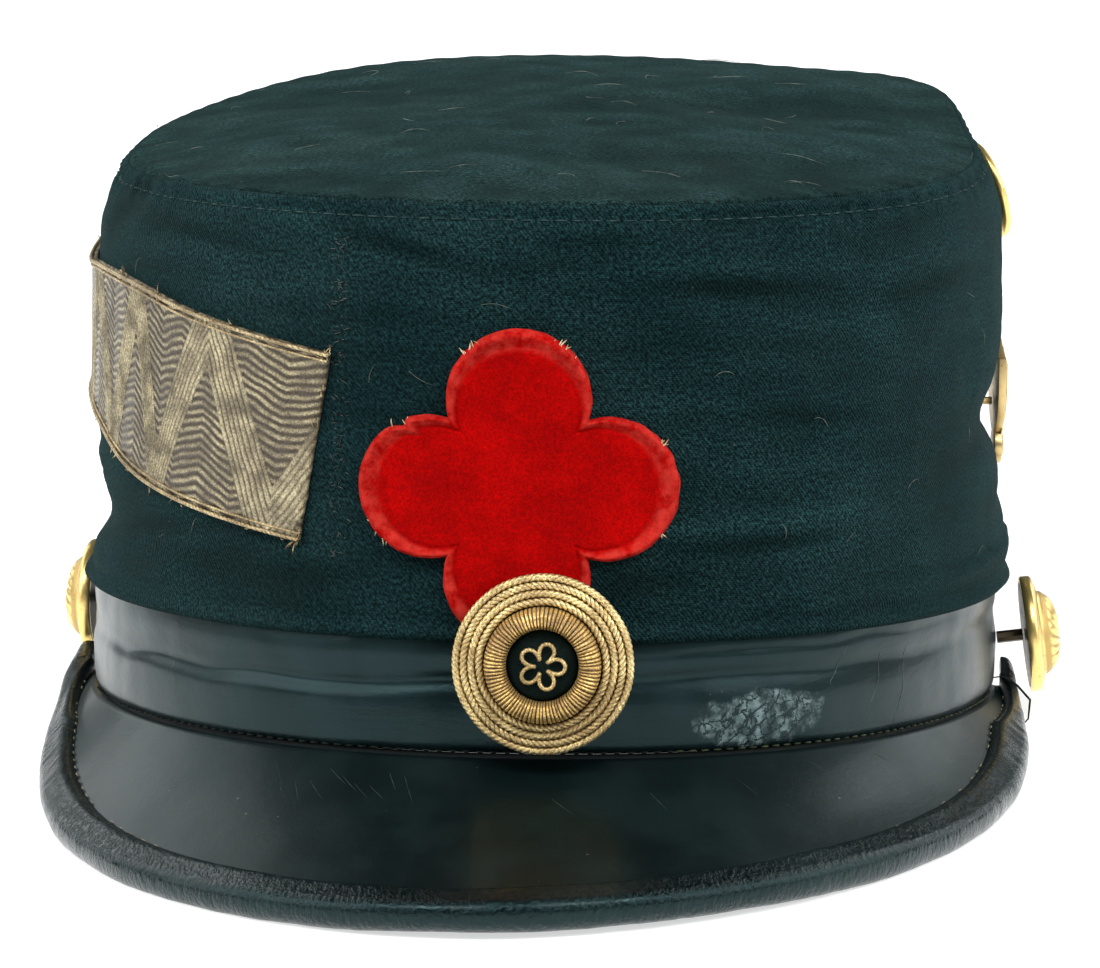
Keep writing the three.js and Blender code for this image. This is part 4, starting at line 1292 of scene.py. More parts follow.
    def on_panel(self, angle: float, share: float, lift: float = 0) -> Vector:
        """A point of the finished top panel, or one clear of it."""
        point = FORM.on_top(angle, share)
        radius = FORM.wall_radius(angle, 1)
        away = radius * (1 - share)
        spot = Vector((point.x, point.y, 0)) / 30
        swell = 0.7 * noise.noise(spot) + 0.28 * noise.noise(spot * 3.1 + Vector((5, 2, 0)))
        swell += 0.08 * noise.noise(spot * 11)
        strength = 0.25 + 0.8 * bell(math.degrees(angle), -52, 30) + 0.8 * bell(math.degrees(angle), 40, 30)
        pucker = 0.3 * strength * math.sin(math.degrees(angle) * 1.35 + 1.2) * bell(away, 2.6, 3.2)
        return point + Vector((0, 0, swell * step(away, 1, 16) + pucker + lift))

    def swell(self, u: float, v: float) -> float:
        """How far the top panel's own waves stand up, for its painted shade and light, at shares of the turn
        and section.
        """
        rows = self.panel_rows + self.panel_back_rows
        share = min(v * rows / self.panel_rows, 1)
        share = 1 - (1 - share) ** self.crowding
        angle = math.pi * (2 * u - 1)
        spot = polar(angle, FORM.wall_radius(angle, 1) * share, 0) / 30
        waves = FORM.top_waves(share * math.sin(angle), -share * math.cos(angle)) / 3
        return 0.45 * noise.noise(spot * 3.1 + Vector((5, 2, 0))) - waves

    def top_section(self, angle: float) -> list[Vector]:
        """The top panel's section: from its middle to its rolled border, and back underneath."""
        radius = FORM.wall_radius(angle, 1)
        border = 1 - 1.5 / radius
        upper = []
        for t in spread(0, 1, self.panel_rows + 1):
            share = border * (1 - (1 - t) ** self.crowding)
            inside = min(max(1 - (border - share) * radius, 0), 1)
            upper.append(self.on_panel(angle, share, math.sqrt(1 - inside * inside) - 1))
        lower = [FORM.on_top(angle, share) - Vector((0, 0, FORM.cloth)) for share in (0.97, 0.8, 0.5, 0.2, 0)]
        return [*upper, *lower]

    def stitches(self) -> list[list[Vector]]:
        """The paths of the topstitching, one for each stitch."""
        count = round(self.edge_girth / self.stitch_pitch)
        half = self.stitched * math.pi / count
        paths = []
        for i in range(count):
            angle = -math.pi + 2 * math.pi * i / count
            path = []
            for t in spread(-1, 1, 6):
                at = angle + half * t
                rise = FORM.edge_height(at) - FORM.hem - self.stitch_below
                path.append(self.on_cloth(at, rise, 0.04 + 0.24 * (1 - t * t)))
            paths.append(path)
        return paths

    def lint(self) -> list[list[Vector]]:
        """The paths of loose fibres on the top panel and the wall."""
        chance = random.Random(11)

        def over_top(x: float, y: float, lift: float) -> Vector:
            """A point over the top panel at millimetres across and along."""
            angle = math.atan2(x, -y)
            return self.on_panel(angle, min(math.hypot(x, y) / FORM.wall_radius(angle, 1), 0.98), lift)

        def over_wall(x: float, y: float, lift: float) -> Vector:
            """A point over the wall at millimetres round it and above the hem."""
            return self.on_cloth(x / 100, min(max(y, 1), 74), lift)

        paths = []
        for _ in range(self.top_fibres):
            turn, away = chance.uniform(0, 2 * math.pi), 92 * math.sqrt(chance.random())
            at = (away * math.sin(turn), away * math.cos(turn), chance.uniform(0, 2 * math.pi))
            paths.append(fibre(over_top, at, chance.uniform(-2.5, 2.5), chance.uniform(0, 0.6)))
        for _ in range(self.wall_fibres):
            at = (chance.uniform(-150, 150), chance.uniform(4, 70), chance.uniform(0, math.pi))
            paths.append(fibre(over_wall, at, chance.uniform(-2, 2), chance.uniform(0, 0.3)))
        return paths

    def fluff(self) -> list[list[Vector]]:
        """The paths of the short fibres that stand along the faded line."""
        chance = random.Random(5)
        paths = []
        for _ in range(self.fluff_fibres):
            rise = chance.uniform(14, 72)
            angle = math.radians(self.fade_angle + chance.gauss(0, 0.5))
            turn, length = chance.uniform(-1, 1), chance.uniform(0.4, 1.3)
            path = []
            for t in spread(0, 1, 5):
                aside = length * t * math.sin(turn * 2) / 100
                above = length * t * math.cos(turn * 2)
                path.append(self.on_cloth(angle + aside, rise + above, 0.05 + 0.3 * t * t))
            paths.append(path)
        return paths

    def build(self) -> None:
        """Makes and dresses the crown's pieces."""
        wall = ClothFinish("wall_cloth", (0.0038, 0.0135, 0.015), (0.0085, 0.025, 0.0265), (0.6, 0.094), 0.3)
        # The top panel's cloth is the wall's with more dust and a paler colour; the paler colour is painted
        # light from above.
        top = ClothFinish("top_cloth", (0.0055, 0.0155, 0.0155), (0.0115, 0.026, 0.0255), None, 0.6)
        thread = ThreadFinish("seam_thread", (0.012, 0.03, 0.031), (0.035, 0.065, 0.063)).build()
        hair = ThreadFinish("lint_fibre", (0.06, 0.08, 0.07), (0.2, 0.22, 0.18)).build()
        nap = ThreadFinish("faded_fibre", (0.04, 0.05, 0.046), (0.14, 0.135, 0.12)).build()
        turns = spread(-math.pi, math.pi, self.steps + 1)
        shell = lofted(turns, self.wall_section, self.shading)
        new_piece("crown_wall_cloth", shell, wall.build(), ["crown_wall"])
        panel = lofted(turns, self.top_section, lambda u, v: 0.5 + self.swell(u, v))
        new_piece("crown_top_cloth", panel, top.build(), ["crown_top"])
        new_piece("topstitching", tube_mesh(self.stitches(), tapered(0.17), 5), thread)
        new_piece("lint", tube_mesh(self.lint(), tapered(0.06), 4), hair)
        new_piece("faded_fluff", tube_mesh(self.fluff(), tapered(0.07), 3), nap)


@dataclass
class HeadBand:
    """The leather band round the crown's foot.

    Attributes:
        steps: Cells round the band.
        rows: Cells up its outer face.
        flaked: Where it is flaked and cracked: degrees from straight ahead, and a share of its height.
        creases: Its pale creases: degrees and share of the height at the foot and at the head of each.
    """

    steps: int = 560
    rows: int = 44
    flaked: tuple[float, float] = (26, 0.24)
    creases: tuple[tuple[float, float, float, float], ...] = (
        (35, 0.46, 37.5, 0.76),
        (40.5, 0.16, 43.8, 0.7),
        (45.5, 0.05, 48.3, 0.69),
        (-41, 0.3, -42.5, 0.5),
    )

    def relief(self, angle: float, share: float) -> float:
        """How far the leather's creases stand out at an angle and a share of its height."""
        degrees = math.degrees(angle)
        around = polar(angle, 1, 0)
        soft = 0.32 * noise.noise(around * 4 + Vector((0, 0, share * 1.6)))
        soft += 0.1 * noise.noise(around * 17 + Vector((2, 0, share * 3)))
        line = 0.56 + 0.05 * noise.noise(around * 6) + 0.0012 * degrees
        groove = -0.75 * bell(share, line, 0.06) * (0.35 + 0.65 * bell(degrees, -28, 26))
        upper = -0.22 * bell(share, line + 0.2, 0.03) * bell(degrees, 38, 26)
        edge = -0.5 * bell(share, 0, 0.03)
        return soft * step(share, 0, 0.1) + groove + upper + edge

    def section(self, angle: float) -> list[Vector]:
        """The band's section: up its outer face and down inside."""
        tall = FORM.band_height
        outer = [
            polar(angle, FORM.band_radius(angle, share) + self.relief(angle, share), tall * share)
            for share in spread(0, 1, self.rows + 1)
        ]
        inside = FORM.inner_radius(angle)
        inner = [polar(angle, inside, tall * share) for share in (1, 0.6, 0.3, 0)]
        return [*outer, polar(angle, inside + 0.6, tall + 0.1), *inner, outer[0]]

    def crease_paths(self) -> list[list[Vector]]:
        """The paths of its pale creases."""
        paths = []
        for foot, low, head, high in self.creases:
            path = []
            for t in spread(0, 1, 16):
                stray = 0.5 * noise.noise(Vector((foot, 4 * t, 0)))
                angle = math.radians(foot + (head - foot) * t + stray)
                share = low + (high - low) * t
                radius = FORM.band_radius(angle, share) + self.relief(angle, share)
                path.append(polar(angle, radius, FORM.band_height * share))
            paths.append(path)
        return paths

    def build(self) -> None:
        """Makes and dresses the band."""
        angle, share = math.radians(self.flaked[0]), self.flaked[1]
        spot = PLACE @ polar(angle, FORM.band_radius(angle, share), FORM.band_height * share)
        leather = LeatherFinish(
            "band_leather", (0.0015, 0.0045, 0.0052), (0.0065, 0.014, 0.0155), 0.3, tuple(spot), 0.014
        )
        pale = ThreadFinish("crease_edge", (0.05, 0.07, 0.07), (0.13, 0.16, 0.16)).build()
        mesh = lofted(spread(-math.pi, math.pi, self.steps + 1), self.section)
        new_piece("head_band", mesh, leather.build(), ["leather_band"])
        new_piece("band_creases", tube_mesh(self.crease_paths(), tapered(0.09), 4), pale)


@dataclass
class Peak:
    """The peak, the leather bound round its edge, and their stitches.

    Attributes:
        steps: Cells along the peak.
        lip: Width of the binding on each face of the peak.
        swell: Thickness of the binding.
        nose: How far the binding rounds past the peak's edge.
        end_clearance: How far the binding's lip stays from the band where the peak is narrow.
        tail_angle: How far its ends run on past the peak, in degrees.
        tail_rise: How far they rise up the band.
        seam_pitch: Degrees from one stitch of the seam to the next.
    """

    steps: int = 300
    lip: float = 6.6
    swell: float = 1.9
    nose: float = 2.7
    end_clearance: float = 1.2
    tail_angle: float = 6
    tail_rise: float = 2.6
    seam_pitch: float = 1.35

    def on_face(self, angle: float, share: float) -> Vector:
        """A point of the peak's upper face, by the share of the way from band to edge."""
        point = FORM.on_peak(angle, share, FORM.peak_thickness / 2)
        soft = 0.3 * noise.noise(point / 30) + 0.03 * noise.noise(point / 8)
        return point + Vector((0, 0, soft * step(share, 0, 0.2) * (1 - step(share, 0.85, 1))))

    def scratches(self) -> list[list[Vector]]:
        """The paths of the fine scratches near the band, most of them on the wearer's right."""
        chance = random.Random(14)
        paths = []
        for middle in [*spread(-24, -10, 10), *spread(4, 40, 5)]:
            start, length = chance.uniform(0.1, 0.24), chance.uniform(0.06, 0.15)
            slant = chance.uniform(1, 2.4)
            paths.append(
                [self.on_face(math.radians(middle + slant * t), start + length * t) for t in spread(0, 1, 8)]
            )
        return paths

    def section(self, angle: float) -> list[Vector]:
        """The peak's section: out along its upper face, round its tip and back below."""
        half = FORM.peak_thickness / 2
        root = FORM.inner_radius(angle) + GAP
        inside = [polar(angle, root, FORM.peak_root + half), polar(angle, root, FORM.peak_root - half)]
        upper = [self.on_face(angle, share) for share in spread(0.02, 1, 44)]
        lower = [FORM.on_peak(angle, share, -half) for share in spread(1, 0.05, 12)]
        return [inside[0], *upper, *lower, inside[1], inside[0]]

    def lip_at(self, angle: float) -> float:
        """Width of the binding's lip at an angle."""
        return min(self.lip, FORM.peak_reach(angle) - self.end_clearance)

    def on_binding(self, turn: float, along: float, off: float) -> Vector:
        """A point of the binding.

        Args:
            turn: Angle from straight ahead, which may pass the peak's end.
            along: Distance past the peak's edge along its slope.
            off: Distance off the peak's middle layer.

        Returns:
            The point.
        """
        end = math.pi / 2
        angle = min(max(turn, -end), end)
        past = (abs(turn) - abs(angle)) / math.radians(self.tail_angle)
        slim = 1 - 0.25 * past
        point = FORM.on_peak(angle, FORM.peak_share(angle, along * slim), off * slim)
        radius = math.hypot(point.x, point.y) + FORM.band_radius(turn, 0) - FORM.band_radius(angle, 0)
        return polar(turn, radius, point.z + self.tail_rise * past)

    def crease(self, turn: float, place: float) -> float:
        """How far the binding's wrinkles stand out, place being where they lie across it."""
        around = polar(turn, 1, 0)
        soft = 0.3 * noise.noise(around * 9 + Vector((0, 0, place * 0.8)))
        fine = 0.08 * noise.noise(around * 55 + Vector((0, 4, place * 0.7)))
        deep = noise.noise(around * 34 + Vector((9, 0, place * 0.9)))
        return soft + fine - 0.3 * max(deep - 0.3, 0)

    def binding_section(self, turn: float) -> list[Vector]:
        """The binding's section: upper lip, round the peak's edge, lower lip, and back inside."""
        slot = FORM.peak_thickness / 2
        face = slot + GAP + self.swell
        lip = self.lip_at(min(max(turn, -math.pi / 2), math.pi / 2))
        profile = []
        for t in spread(0, 1, 15):
            rise = math.sqrt(1 - (1 - min(t / 0.4, 1)) ** 2)
            profile.append((-lip * (1 - t), slot + 0.05 + (face - slot) * rise, rise))
        for t in spread(0, 1, 19)[1:-1]:
            turned_by = math.pi * t
            profile.append((self.nose * math.sin(turned_by), face * math.cos(turned_by), 1))
        profile += [(along, -off, weight) for along, off, weight in reversed(profile[:15])]
        points = []
        for i, (along, off, weight) in enumerate(profile):
            stand = self.crease(turn, i / len(profile) * 3) * weight
            length = math.hypot(max(along, 0), off)
            out, up = along + stand * max(along, 0) / length, off * (1 + stand / length)
            points.append(self.on_binding(turn, out, up))
        inside = [(-lip, -slot), (0.2, -slot), (0.2, slot), (-lip, slot)]
        return [*points, *(self.on_binding(turn, along, off) for along, off in inside), points[0]]

    def stitches(self) -> list[list[Vector]]:
        """The paths of the stitches that hold the binding, which show along its upper lip."""
        chance = random.Random(3)
        paths = []
        for degrees in spread(-86, 84, 84):
            if chance.random() < 0.25:
                continue
            half = chance.uniform(0.25, 0.5)
            path = []
            for t in spread(-1, 1, 5):
                turn = math.radians(degrees + half * t)
                along = -self.lip_at(turn) - 0.15
                path.append(self.on_binding(turn, along, FORM.peak_thickness / 2 + 0.25 + 0.25 * (1 - t * t)))
            paths.append(path)
        return paths

    def seam_stitches(self, first: float, last: float) -> list[list[Vector]]:
        """The paths of the stitches between the band and the peak, from one angle to another in degrees."""
        paths = []
        for degrees in spread(first, last, round((last - first) / self.seam_pitch)):
            path = []
            for t in spread(-1, 1, 5):
                turn = math.radians(degrees + 0.42 * t)
                radius = FORM.band_radius(turn, 0) + 0.1
                path.append(polar(turn, radius + 0.3 * (1 - t * t), 0.25))
            paths.append(path)
        return paths

    def loose_thread(self) -> list[Vector]:
        """The path of the loose thread that loops over the binding on the wearer's left."""
        rows = (
            (-6.5, 2.4, 83), (-4.5, 4.3, 83.6), (-1, 4.9, 84),
            (2.6, 4.2, 84), (4.4, 1.6, 83.6), (4.2, -1.8, 83),
        )
        corners = [self.on_binding(math.radians(degrees), along, off) for along, off, degrees in rows]
        return [along_path(corners, t) for t in spread(0, 1, 21)]

    def build(self) -> None:
        """Makes and dresses the peak's pieces."""
        end = math.pi / 2
        past = end + math.radians(self.tail_angle)
        leather = LeatherFinish("peak_leather", (0.0012, 0.0035, 0.0035), (0.003, 0.007, 0.0068), 0.37)
        bound = LeatherFinish(
            "binding_leather", (0.0012, 0.0035, 0.0038), (0.0035, 0.008, 0.008), 0.2, creased=(0.46, 0.04)
        )
        beige = ThreadFinish("binding_thread", (0.09, 0.085, 0.05), (0.24, 0.22, 0.14)).build()
        green = ThreadFinish("seam_cord", (0.012, 0.02, 0.01), (0.05, 0.062, 0.03)).build()
        # Painted shadow: the front stitches between band and peak are near black, to stand for the shade in
        # their joint.
        dark = ThreadFinish("seam_shadow_cord", (0.0012, 0.003, 0.0027), (0.006, 0.01, 0.008)).build()
        black = ThreadFinish("loose_thread", (0.004, 0.006, 0.006), (0.015, 0.018, 0.018)).build()
        pale = ThreadFinish("scratched_leather", (0.018, 0.028, 0.027), (0.05, 0.066, 0.063)).build()
        sheet = lofted(spread(-end, end, self.steps + 1), self.section, capped=True)
        rolled = lofted(spread(-past, past, 2 * self.steps + 1), self.binding_section, capped=True)
        new_piece("peak_leather", sheet, leather.build(), ["peak"])
        new_piece("edge_binding", rolled, bound.build(), ["peak_binding"])
        new_piece("binding_stitches", tube_mesh(self.stitches(), tapered(0.16), 5), beige)
        # The front run of seam stitches carries the painted shadow of the band-peak joint.
        for name, first, last, thread in (("left", 17, 80, green), ("front", -70, 16, dark)):
            seam = tube_mesh(self.seam_stitches(first, last), tapered(0.2), 5)
            new_piece(f"{name}_seam_stitches", seam, thread)
        new_piece("peak_scratches", tube_mesh(self.scratches(), tapered(0.055), 4), pale)
        loop = tube_mesh([self.loose_thread()], tapered(0.22), 6)
        new_piece("loose_thread", loop, black)


@dataclass
class FrontOrnament:
    """The four-lobed velvet ornament at the front.

    Attributes:
        half_span: From its middle to the tip of a lobe.
        lobe: Radius of a lobe.
        thickness: How far its surface stands off the cloth.
        sideways: Its middle, to the wearer's left.
        height: Its middle, above the band's lower edge.
        fold: Width of the folded edge.
    """

    half_span: float = 28.4
    lobe: float = 12.8
    thickness: float = 1.8
    sideways: float = 0.7
    height: float = 47.4
    fold: float = 2.4

    def radius(self, direction: float) -> float:
        """Distance from its middle to its edge, at a direction, with a moth-eaten nip."""
        aside = (direction + math.pi / 4) % (math.pi / 2) - math.pi / 4
        offset = self.half_span - self.lobe
        across = math.sqrt(self.lobe**2 - (offset * math.sin(aside)) ** 2)
        nip = 1.5 * bell(degrees_from(math.degrees(direction), 152), 0, 2.2)
        ragged = 0.22 * noise.noise(Vector((math.cos(direction), math.sin(direction), 0)) * 11)
        return offset * math.cos(aside) + across - nip + ragged

    def on_front(self, direction: float, reach: float, lift: float) -> Vector:
        """A point over the crown's front, at a direction and distance from the ornament's middle."""
        sideways = self.sideways + reach * math.cos(direction)
        angle = math.asin(sideways / (FORM.head_half_depth + FORM.band_thickness))
        share = FORM.wall_share(angle, self.height + reach * math.sin(direction))
        return FORM.on_wall(angle, share, lift)

    def section(self, direction: float) -> list[Vector]:
        """Its section: from its middle over the folded edge to the cloth, and back underneath."""
        full = self.radius(direction)
        points = []
        for t in spread(0, 1, 45):
            reach = full * (1 - (1 - t) ** 1.7)
            away = full - reach
            spot = Vector((reach * math.cos(direction), reach * math.sin(direction), 0))
            soft = 0.16 * noise.noise(spot / 5) + 0.1 * noise.noise(spot / 1.6)
            ridge = 0.55 * bell(away, 0.5 * self.fold, 0.42 * self.fold)
            ridge -= 0.35 * bell(away, 1.35 * self.fold, 0.5)
            border = math.sqrt(max(1 - max(1 - away / 1.1, 0) ** 2, 0))
            lift = GAP + (0.75 * self.thickness + ridge + soft) * border - 0.35 * (1 - border)
            points.append(self.on_front(direction, reach, lift))
        under = [self.on_front(direction, full * share, 0.05) for share in (0.9, 0.5, 0)]
        return [*points, *under]

    def frays(self) -> list[list[Vector]]:
        """The paths of the frayed threads that stick out of its edge."""
        chance = random.Random(8)
        paths = []
        for middle in (72, 108, 18, 342, 152, 198, 300):
            for _ in range(9):
                direction = math.radians(middle + chance.gauss(0, 2.4))
                turn, length = chance.uniform(-1.2, 1.2), chance.uniform(0.6, 1.9)
                full = self.radius(direction)
                path = []
                for t in spread(0, 1, 5):
                    aside = length * t * math.sin(turn) / full
                    reach = full - 0.9 + length * t * math.cos(turn)
                    lift = 1.6 - 0.9 * t + 0.3 * math.sin(4 * t + turn)
                    path.append(self.on_front(direction + aside, reach, lift))
                paths.append(path)
        return paths

    def build(self) -> None:
        """Makes and dresses the ornament."""
        velvet = VelvetFinish("red_velvet", (0.32, 0.0006, 0.0005), (0.66, 0.0016, 0.0011), 0.64)
        beige = ThreadFinish("frayed_thread", (0.4, 0.24, 0.12), (0.75, 0.6, 0.4)).build()
        mesh = lofted(spread(0, 2 * math.pi, 289), self.section)
        new_piece("velvet_ornament", mesh, velvet.build(), ["front_ornament"])
        new_piece("ornament_frays", tube_mesh(self.frays(), tapered(0.13), 4), beige)


@dataclass
class SideLace:
    """The strip of metal lace along the wearer's right side.

    Attributes:
        thickness: How far it stands off the cloth.
        slant: How far its front end runs back towards its lower edge, in degrees.
        length: Its length, for the pattern.
        width: Its mean width, for the pattern.
        span: Length of half a zigzag.
        stripe: Half width of a zigzag stripe.
        rib: Distance between the ribs that fill the triangles.
        steps: Cells along it.
        rows: Cells across its face.
        back_rows: Cells back underneath it.
    """

    thickness: float = 0.8
    slant: float = 3.5
    length: float = 184
    width: float = 33
    span: float = 21
    stripe: float = 4.4
    rib: float = 1.45
    steps: int = 560
    rows: int = 96
    back_rows: int = 5

    def edges(self, along: float) -> tuple[float, float, float]:
        """Angle in degrees and the two heights, as shares of the wall, at a share of the strip's length."""
        at = along * (len(LACE_EDGES) - 1)
        angle, low, high = (
            read_rows([(i, row[k]) for i, row in enumerate(LACE_EDGES)], at) for k in range(3)
        )
        return angle, low, high

    def on_lace(self, along: float, across: float, lift: float) -> Vector:
        """A point of the strip, by shares of its length and width."""
        angle, low, high = self.edges(along)
        slant = self.slant * (1 - across) * (1 - along)
        ragged = 0.25 * noise.noise(Vector((across * 14, 0, 0))) * step(0.03 - along, 0, 0.03)
        return FORM.on_wall(math.radians(angle - slant + ragged), low + (high - low) * across, lift)

    def relief(self, along: float, across: float) -> float:
        """How high the woven pattern stands, 0 to 1."""
        x, y = along * self.length, across * self.width
        fold = abs((x / self.span + 0.62) % 2 - 1)
        run = self.width / self.span
        away = (y - fold * self.width) / math.hypot(1, run)
        wobble = 0.35 * noise.noise(Vector((x / 5, y / 5, 0)))
        if abs(away) < self.stripe:
            return 0.62 + 0.38 * math.cos(2 * math.pi * (away / 1.25 + wobble))
        middle = (x / self.span + 0.62) % 1 - 0.5
        chevron = abs(middle) * 5 * (1 if away > 0 else -1)
        rib = math.cos(2 * math.pi * ((y + chevron) / self.rib + wobble))
        return 0.32 + 0.32 * rib

    def section(self, along: float) -> list[Vector]:
        """Its section: across its face, and back underneath."""
        points = []
        for across in spread(0, 1, self.rows + 1):
            border = min(across, 1 - across, along * 5, (1 - along) * 5) * self.width
            height = self.thickness * step(border, 0, 0.5) + 0.34 * (self.relief(along, across) - 0.5)
            points.append(self.on_lace(along, across, GAP + max(height, 0)))
        under = [self.on_lace(along, across, 0.03) for across in (1, 0.66, 0.33, 0)]
        return [*points, *under, points[0]]

    def edging(self, across: float, lift: float) -> list[Vector]:
        """The path of a cord along one long edge."""
        return [self.on_lace(t, across, lift) for t in spread(0, 1, 420)]

    def frays(self) -> list[list[Vector]]:
        """The paths of the frayed threads at its corners and along its edges."""
        chance = random.Random(21)
        places = [(0.003, 0.01, 16), (0.004, 0.98, 8), (0.3, 0.995, 7), (0.46, 0.995, 9), (0.3, 0.005, 5)]
        places += [(0.003, across, 2) for across in (0.2, 0.4, 0.6, 0.8)]
        places += [(chance.random(), chance.choice((0.0, 1.0)), 2) for _ in range(24)]
        paths = []
        for along, across, count in places:
            for _ in range(count):
                turn, length = chance.uniform(0, 2 * math.pi), chance.uniform(0.8, 2.6)
                bend = chance.uniform(-1.5, 1.5)
                path = []
                for t in spread(0, 1, 6):
                    u = along + length * t * math.cos(turn + bend * t) / self.length
                    v = across + length * t * math.sin(turn + bend * t) / self.width
                    path.append(self.on_lace(u, v, 0.9 + 0.8 * t * math.cos(bend)))
                paths.append(path)
        return paths

    def build(self) -> None:
        """Makes and dresses the strip."""
        silver = MetalThreadFinish(
            "lace_thread", (0.5, 0.43, 0.27), (0.17, 0.135, 0.08), hollow=(0.06, 0.045, 0.028), metallic=0.62
        )
        gilt = MetalThreadFinish("lace_edging", (0.6, 0.48, 0.27), (0.28, 0.2, 0.1), (0.1, 0.065, 0.03))
        rows = self.rows + self.back_rows
        mesh = lofted(
            spread(0, 1, self.steps + 1),
            self.section,
            lambda u, v: self.relief(u, v * rows / self.rows) if v * rows <= self.rows else 0,
            capped=True,
        )
        new_piece("side_lace_strip", mesh, silver.build(), ["side_lace"])
        cords = [self.edging(0.012, 1.35), self.edging(0.988, 1.35)]
        inner = [self.edging(0.045, 1.2), self.edging(0.955, 1.2)]
        dressed = gilt.build()
        new_piece("lace_edge_cords", tube_mesh(cords, roped(0.42, 2, 74), 8), dressed)
        new_piece("lace_inner_cords", tube_mesh(inner, roped(0.28, 2, -90), 8), dressed)
        new_piece("lace_frays", tube_mesh(self.frays(), tapered(0.13), 4), dressed)


@dataclass
class Cockade:
    """The cockade: backing, cords, bullion ring, velvet disc and wire knot.

    Attributes:
        radius: Its outer radius.
        back: Thickness of its backing at the rim.
        cord: Diameter of a cord.
        cords: Number of cords.
        dish: How far the cords climb towards the bullion.
        ring: Thickness of the bullion ring.
        hole: Radius of the hole in it.
        strands: Number of bullion strands.
        knot: Radius of the wire knot.
        wire: Thickness of its wire.
        sideways: Its middle, to the wearer's left.
        height: Its middle, above the band's lower edge.
        cord_steps: Cells round a cord's loop.
        knot_steps: Cells along the knot.
        loops: Number of the knot's loops.
    """

    radius: float = 16
    back: float = 1.5
    cord: float = 1.1
    cords: int = 4
    dish: float = 1.5
    ring: float = 3.9
    hole: float = 6.4
    strands: int = 84
    knot: float = 3.5
    wire: float = 0.75
    sideways: float = 5.6
    height: float = 17
    cord_steps: int = 430
    knot_steps: int = 200
    loops: int = 5

    @property
    def pitch(self) -> float:
        """Distance between the middles of two cords."""
        return self.cord + GAP

    @property
    def ring_radius(self) -> float:
        """Outer radius of the bullion ring."""
        return self.radius - self.cord - (self.cords - 1) * self.pitch - GAP

    def dish_height(self, distance: float) -> float:
        """Height of the backing at a distance from the middle."""
        inward = (self.radius - distance) / (self.radius - self.ring_radius)
        return self.back + self.dish * min(max(inward, 0), 1)

    def place(self) -> Matrix:
        """The cockade's own frame, whose Z axis looks forwards, set clear of the cloth and the ornament."""
        ornament = FrontOrnament()
        rim = math.asin((self.sideways + self.radius) / FORM.head_half_depth)
        reach = 0.0
        for turn in spread(-rim, rim, 13):
            for t in spread(-1, 1, 13):
                height = self.height + self.radius * t
                share = FORM.wall_share(turn, max(height, FORM.hem))
                over = height > ornament.height - ornament.half_span
                clear = GAP + ornament.thickness if over else 0
                reach = max(reach, -FORM.on_wall(turn, share, clear).y)
        angle = math.asin(self.sideways / FORM.head_half_depth)
        across = polar(angle, FORM.wall_radius(angle, 0), self.height).x
        spot = Vector((across, -reach - GAP, self.height))
        return Matrix.Translation(spot) @ Matrix.Rotation(math.pi / 2, 4, "X")

    def backing(self) -> bmesh.types.BMesh:
        """The backing disc."""
        rim = self.radius - 0.1
        return turned(
            [(0, 0), (rim - 0.3, 0), (rim, 0.3), (rim, self.dish_height(rim) - 0.2)]
            + [(d, self.dish_height(d)) for d in (14, 12, self.ring_radius, 0)]
        )

    def cord_path(self, index: int) -> list[Vector]:
        """The path of a cord, counted from the outside."""
        radius = self.radius - self.cord / 2 - index * self.pitch
        height = self.dish_height(radius) + self.cord / 2 + 0.25
        points = []
        for i in range(self.cord_steps):
            turn = 2 * math.pi * i / self.cord_steps
            away = radius + 0.1 * noise.noise(Vector((math.cos(turn), math.sin(turn), index)) * 3)
            points.append(Vector((away * math.cos(turn), away * math.sin(turn), height)))
        return points

    def strand(self, turn: float) -> float:
        """How high a bullion strand stands at a turn round the ring, 0 to 1."""
        around = Vector((math.cos(turn), math.sin(turn), 0))
        uneven = 0.22 * noise.noise(around * 9)
        return abs(math.cos(self.strands / 2 * turn + uneven * 4))

    def ring_section(self, turn: float) -> list[Vector]:
        """The bullion ring's section at a turn."""
        tube = (self.ring_radius - self.hole) / 2
        middle = self.hole + tube
        base = self.dish_height(0) + GAP
        around = Vector((math.cos(turn), math.sin(turn), 0))
        rise = self.ring * (0.97 + 0.09 * noise.noise(around * 5))
        groove = 0.42 * (1 - self.strand(turn) ** 0.7)
        points = []
        for t in spread(0, 1, 25):
            lean = math.pi * t
            out = tube * math.copysign(abs(math.cos(lean)) ** 0.8, math.cos(lean))
            up = rise * math.sin(lean) ** 0.62 * (1 - 0.1 * math.cos(lean))
            depth = groove * math.sin(lean) ** 0.5
            scale = 1 - depth / tube
            points.append(around * (middle + out * scale) + Vector((0, 0, base + up - depth)))
        return [*points, points[0]]

    def knot_path(self) -> list[Vector]:
        """The path of the wire knot's loops."""
        height = self.dish_height(0) + GAP + 0.4 * self.ring + GAP + self.wire / 2
        points = []
        for i in range(self.knot_steps):
            turn = 2 * math.pi * i / self.knot_steps
            distance = self.knot * (0.66 + 0.34 * math.cos(self.loops * turn)) * 1.18
            swing = turn + 0.35 * math.sin(self.loops * turn) / 2
            lift = 0.22 * math.cos(2 * self.loops * turn + 0.5)
            points.append(Vector((distance * math.cos(swing), distance * math.sin(swing), height + lift)))
        return points

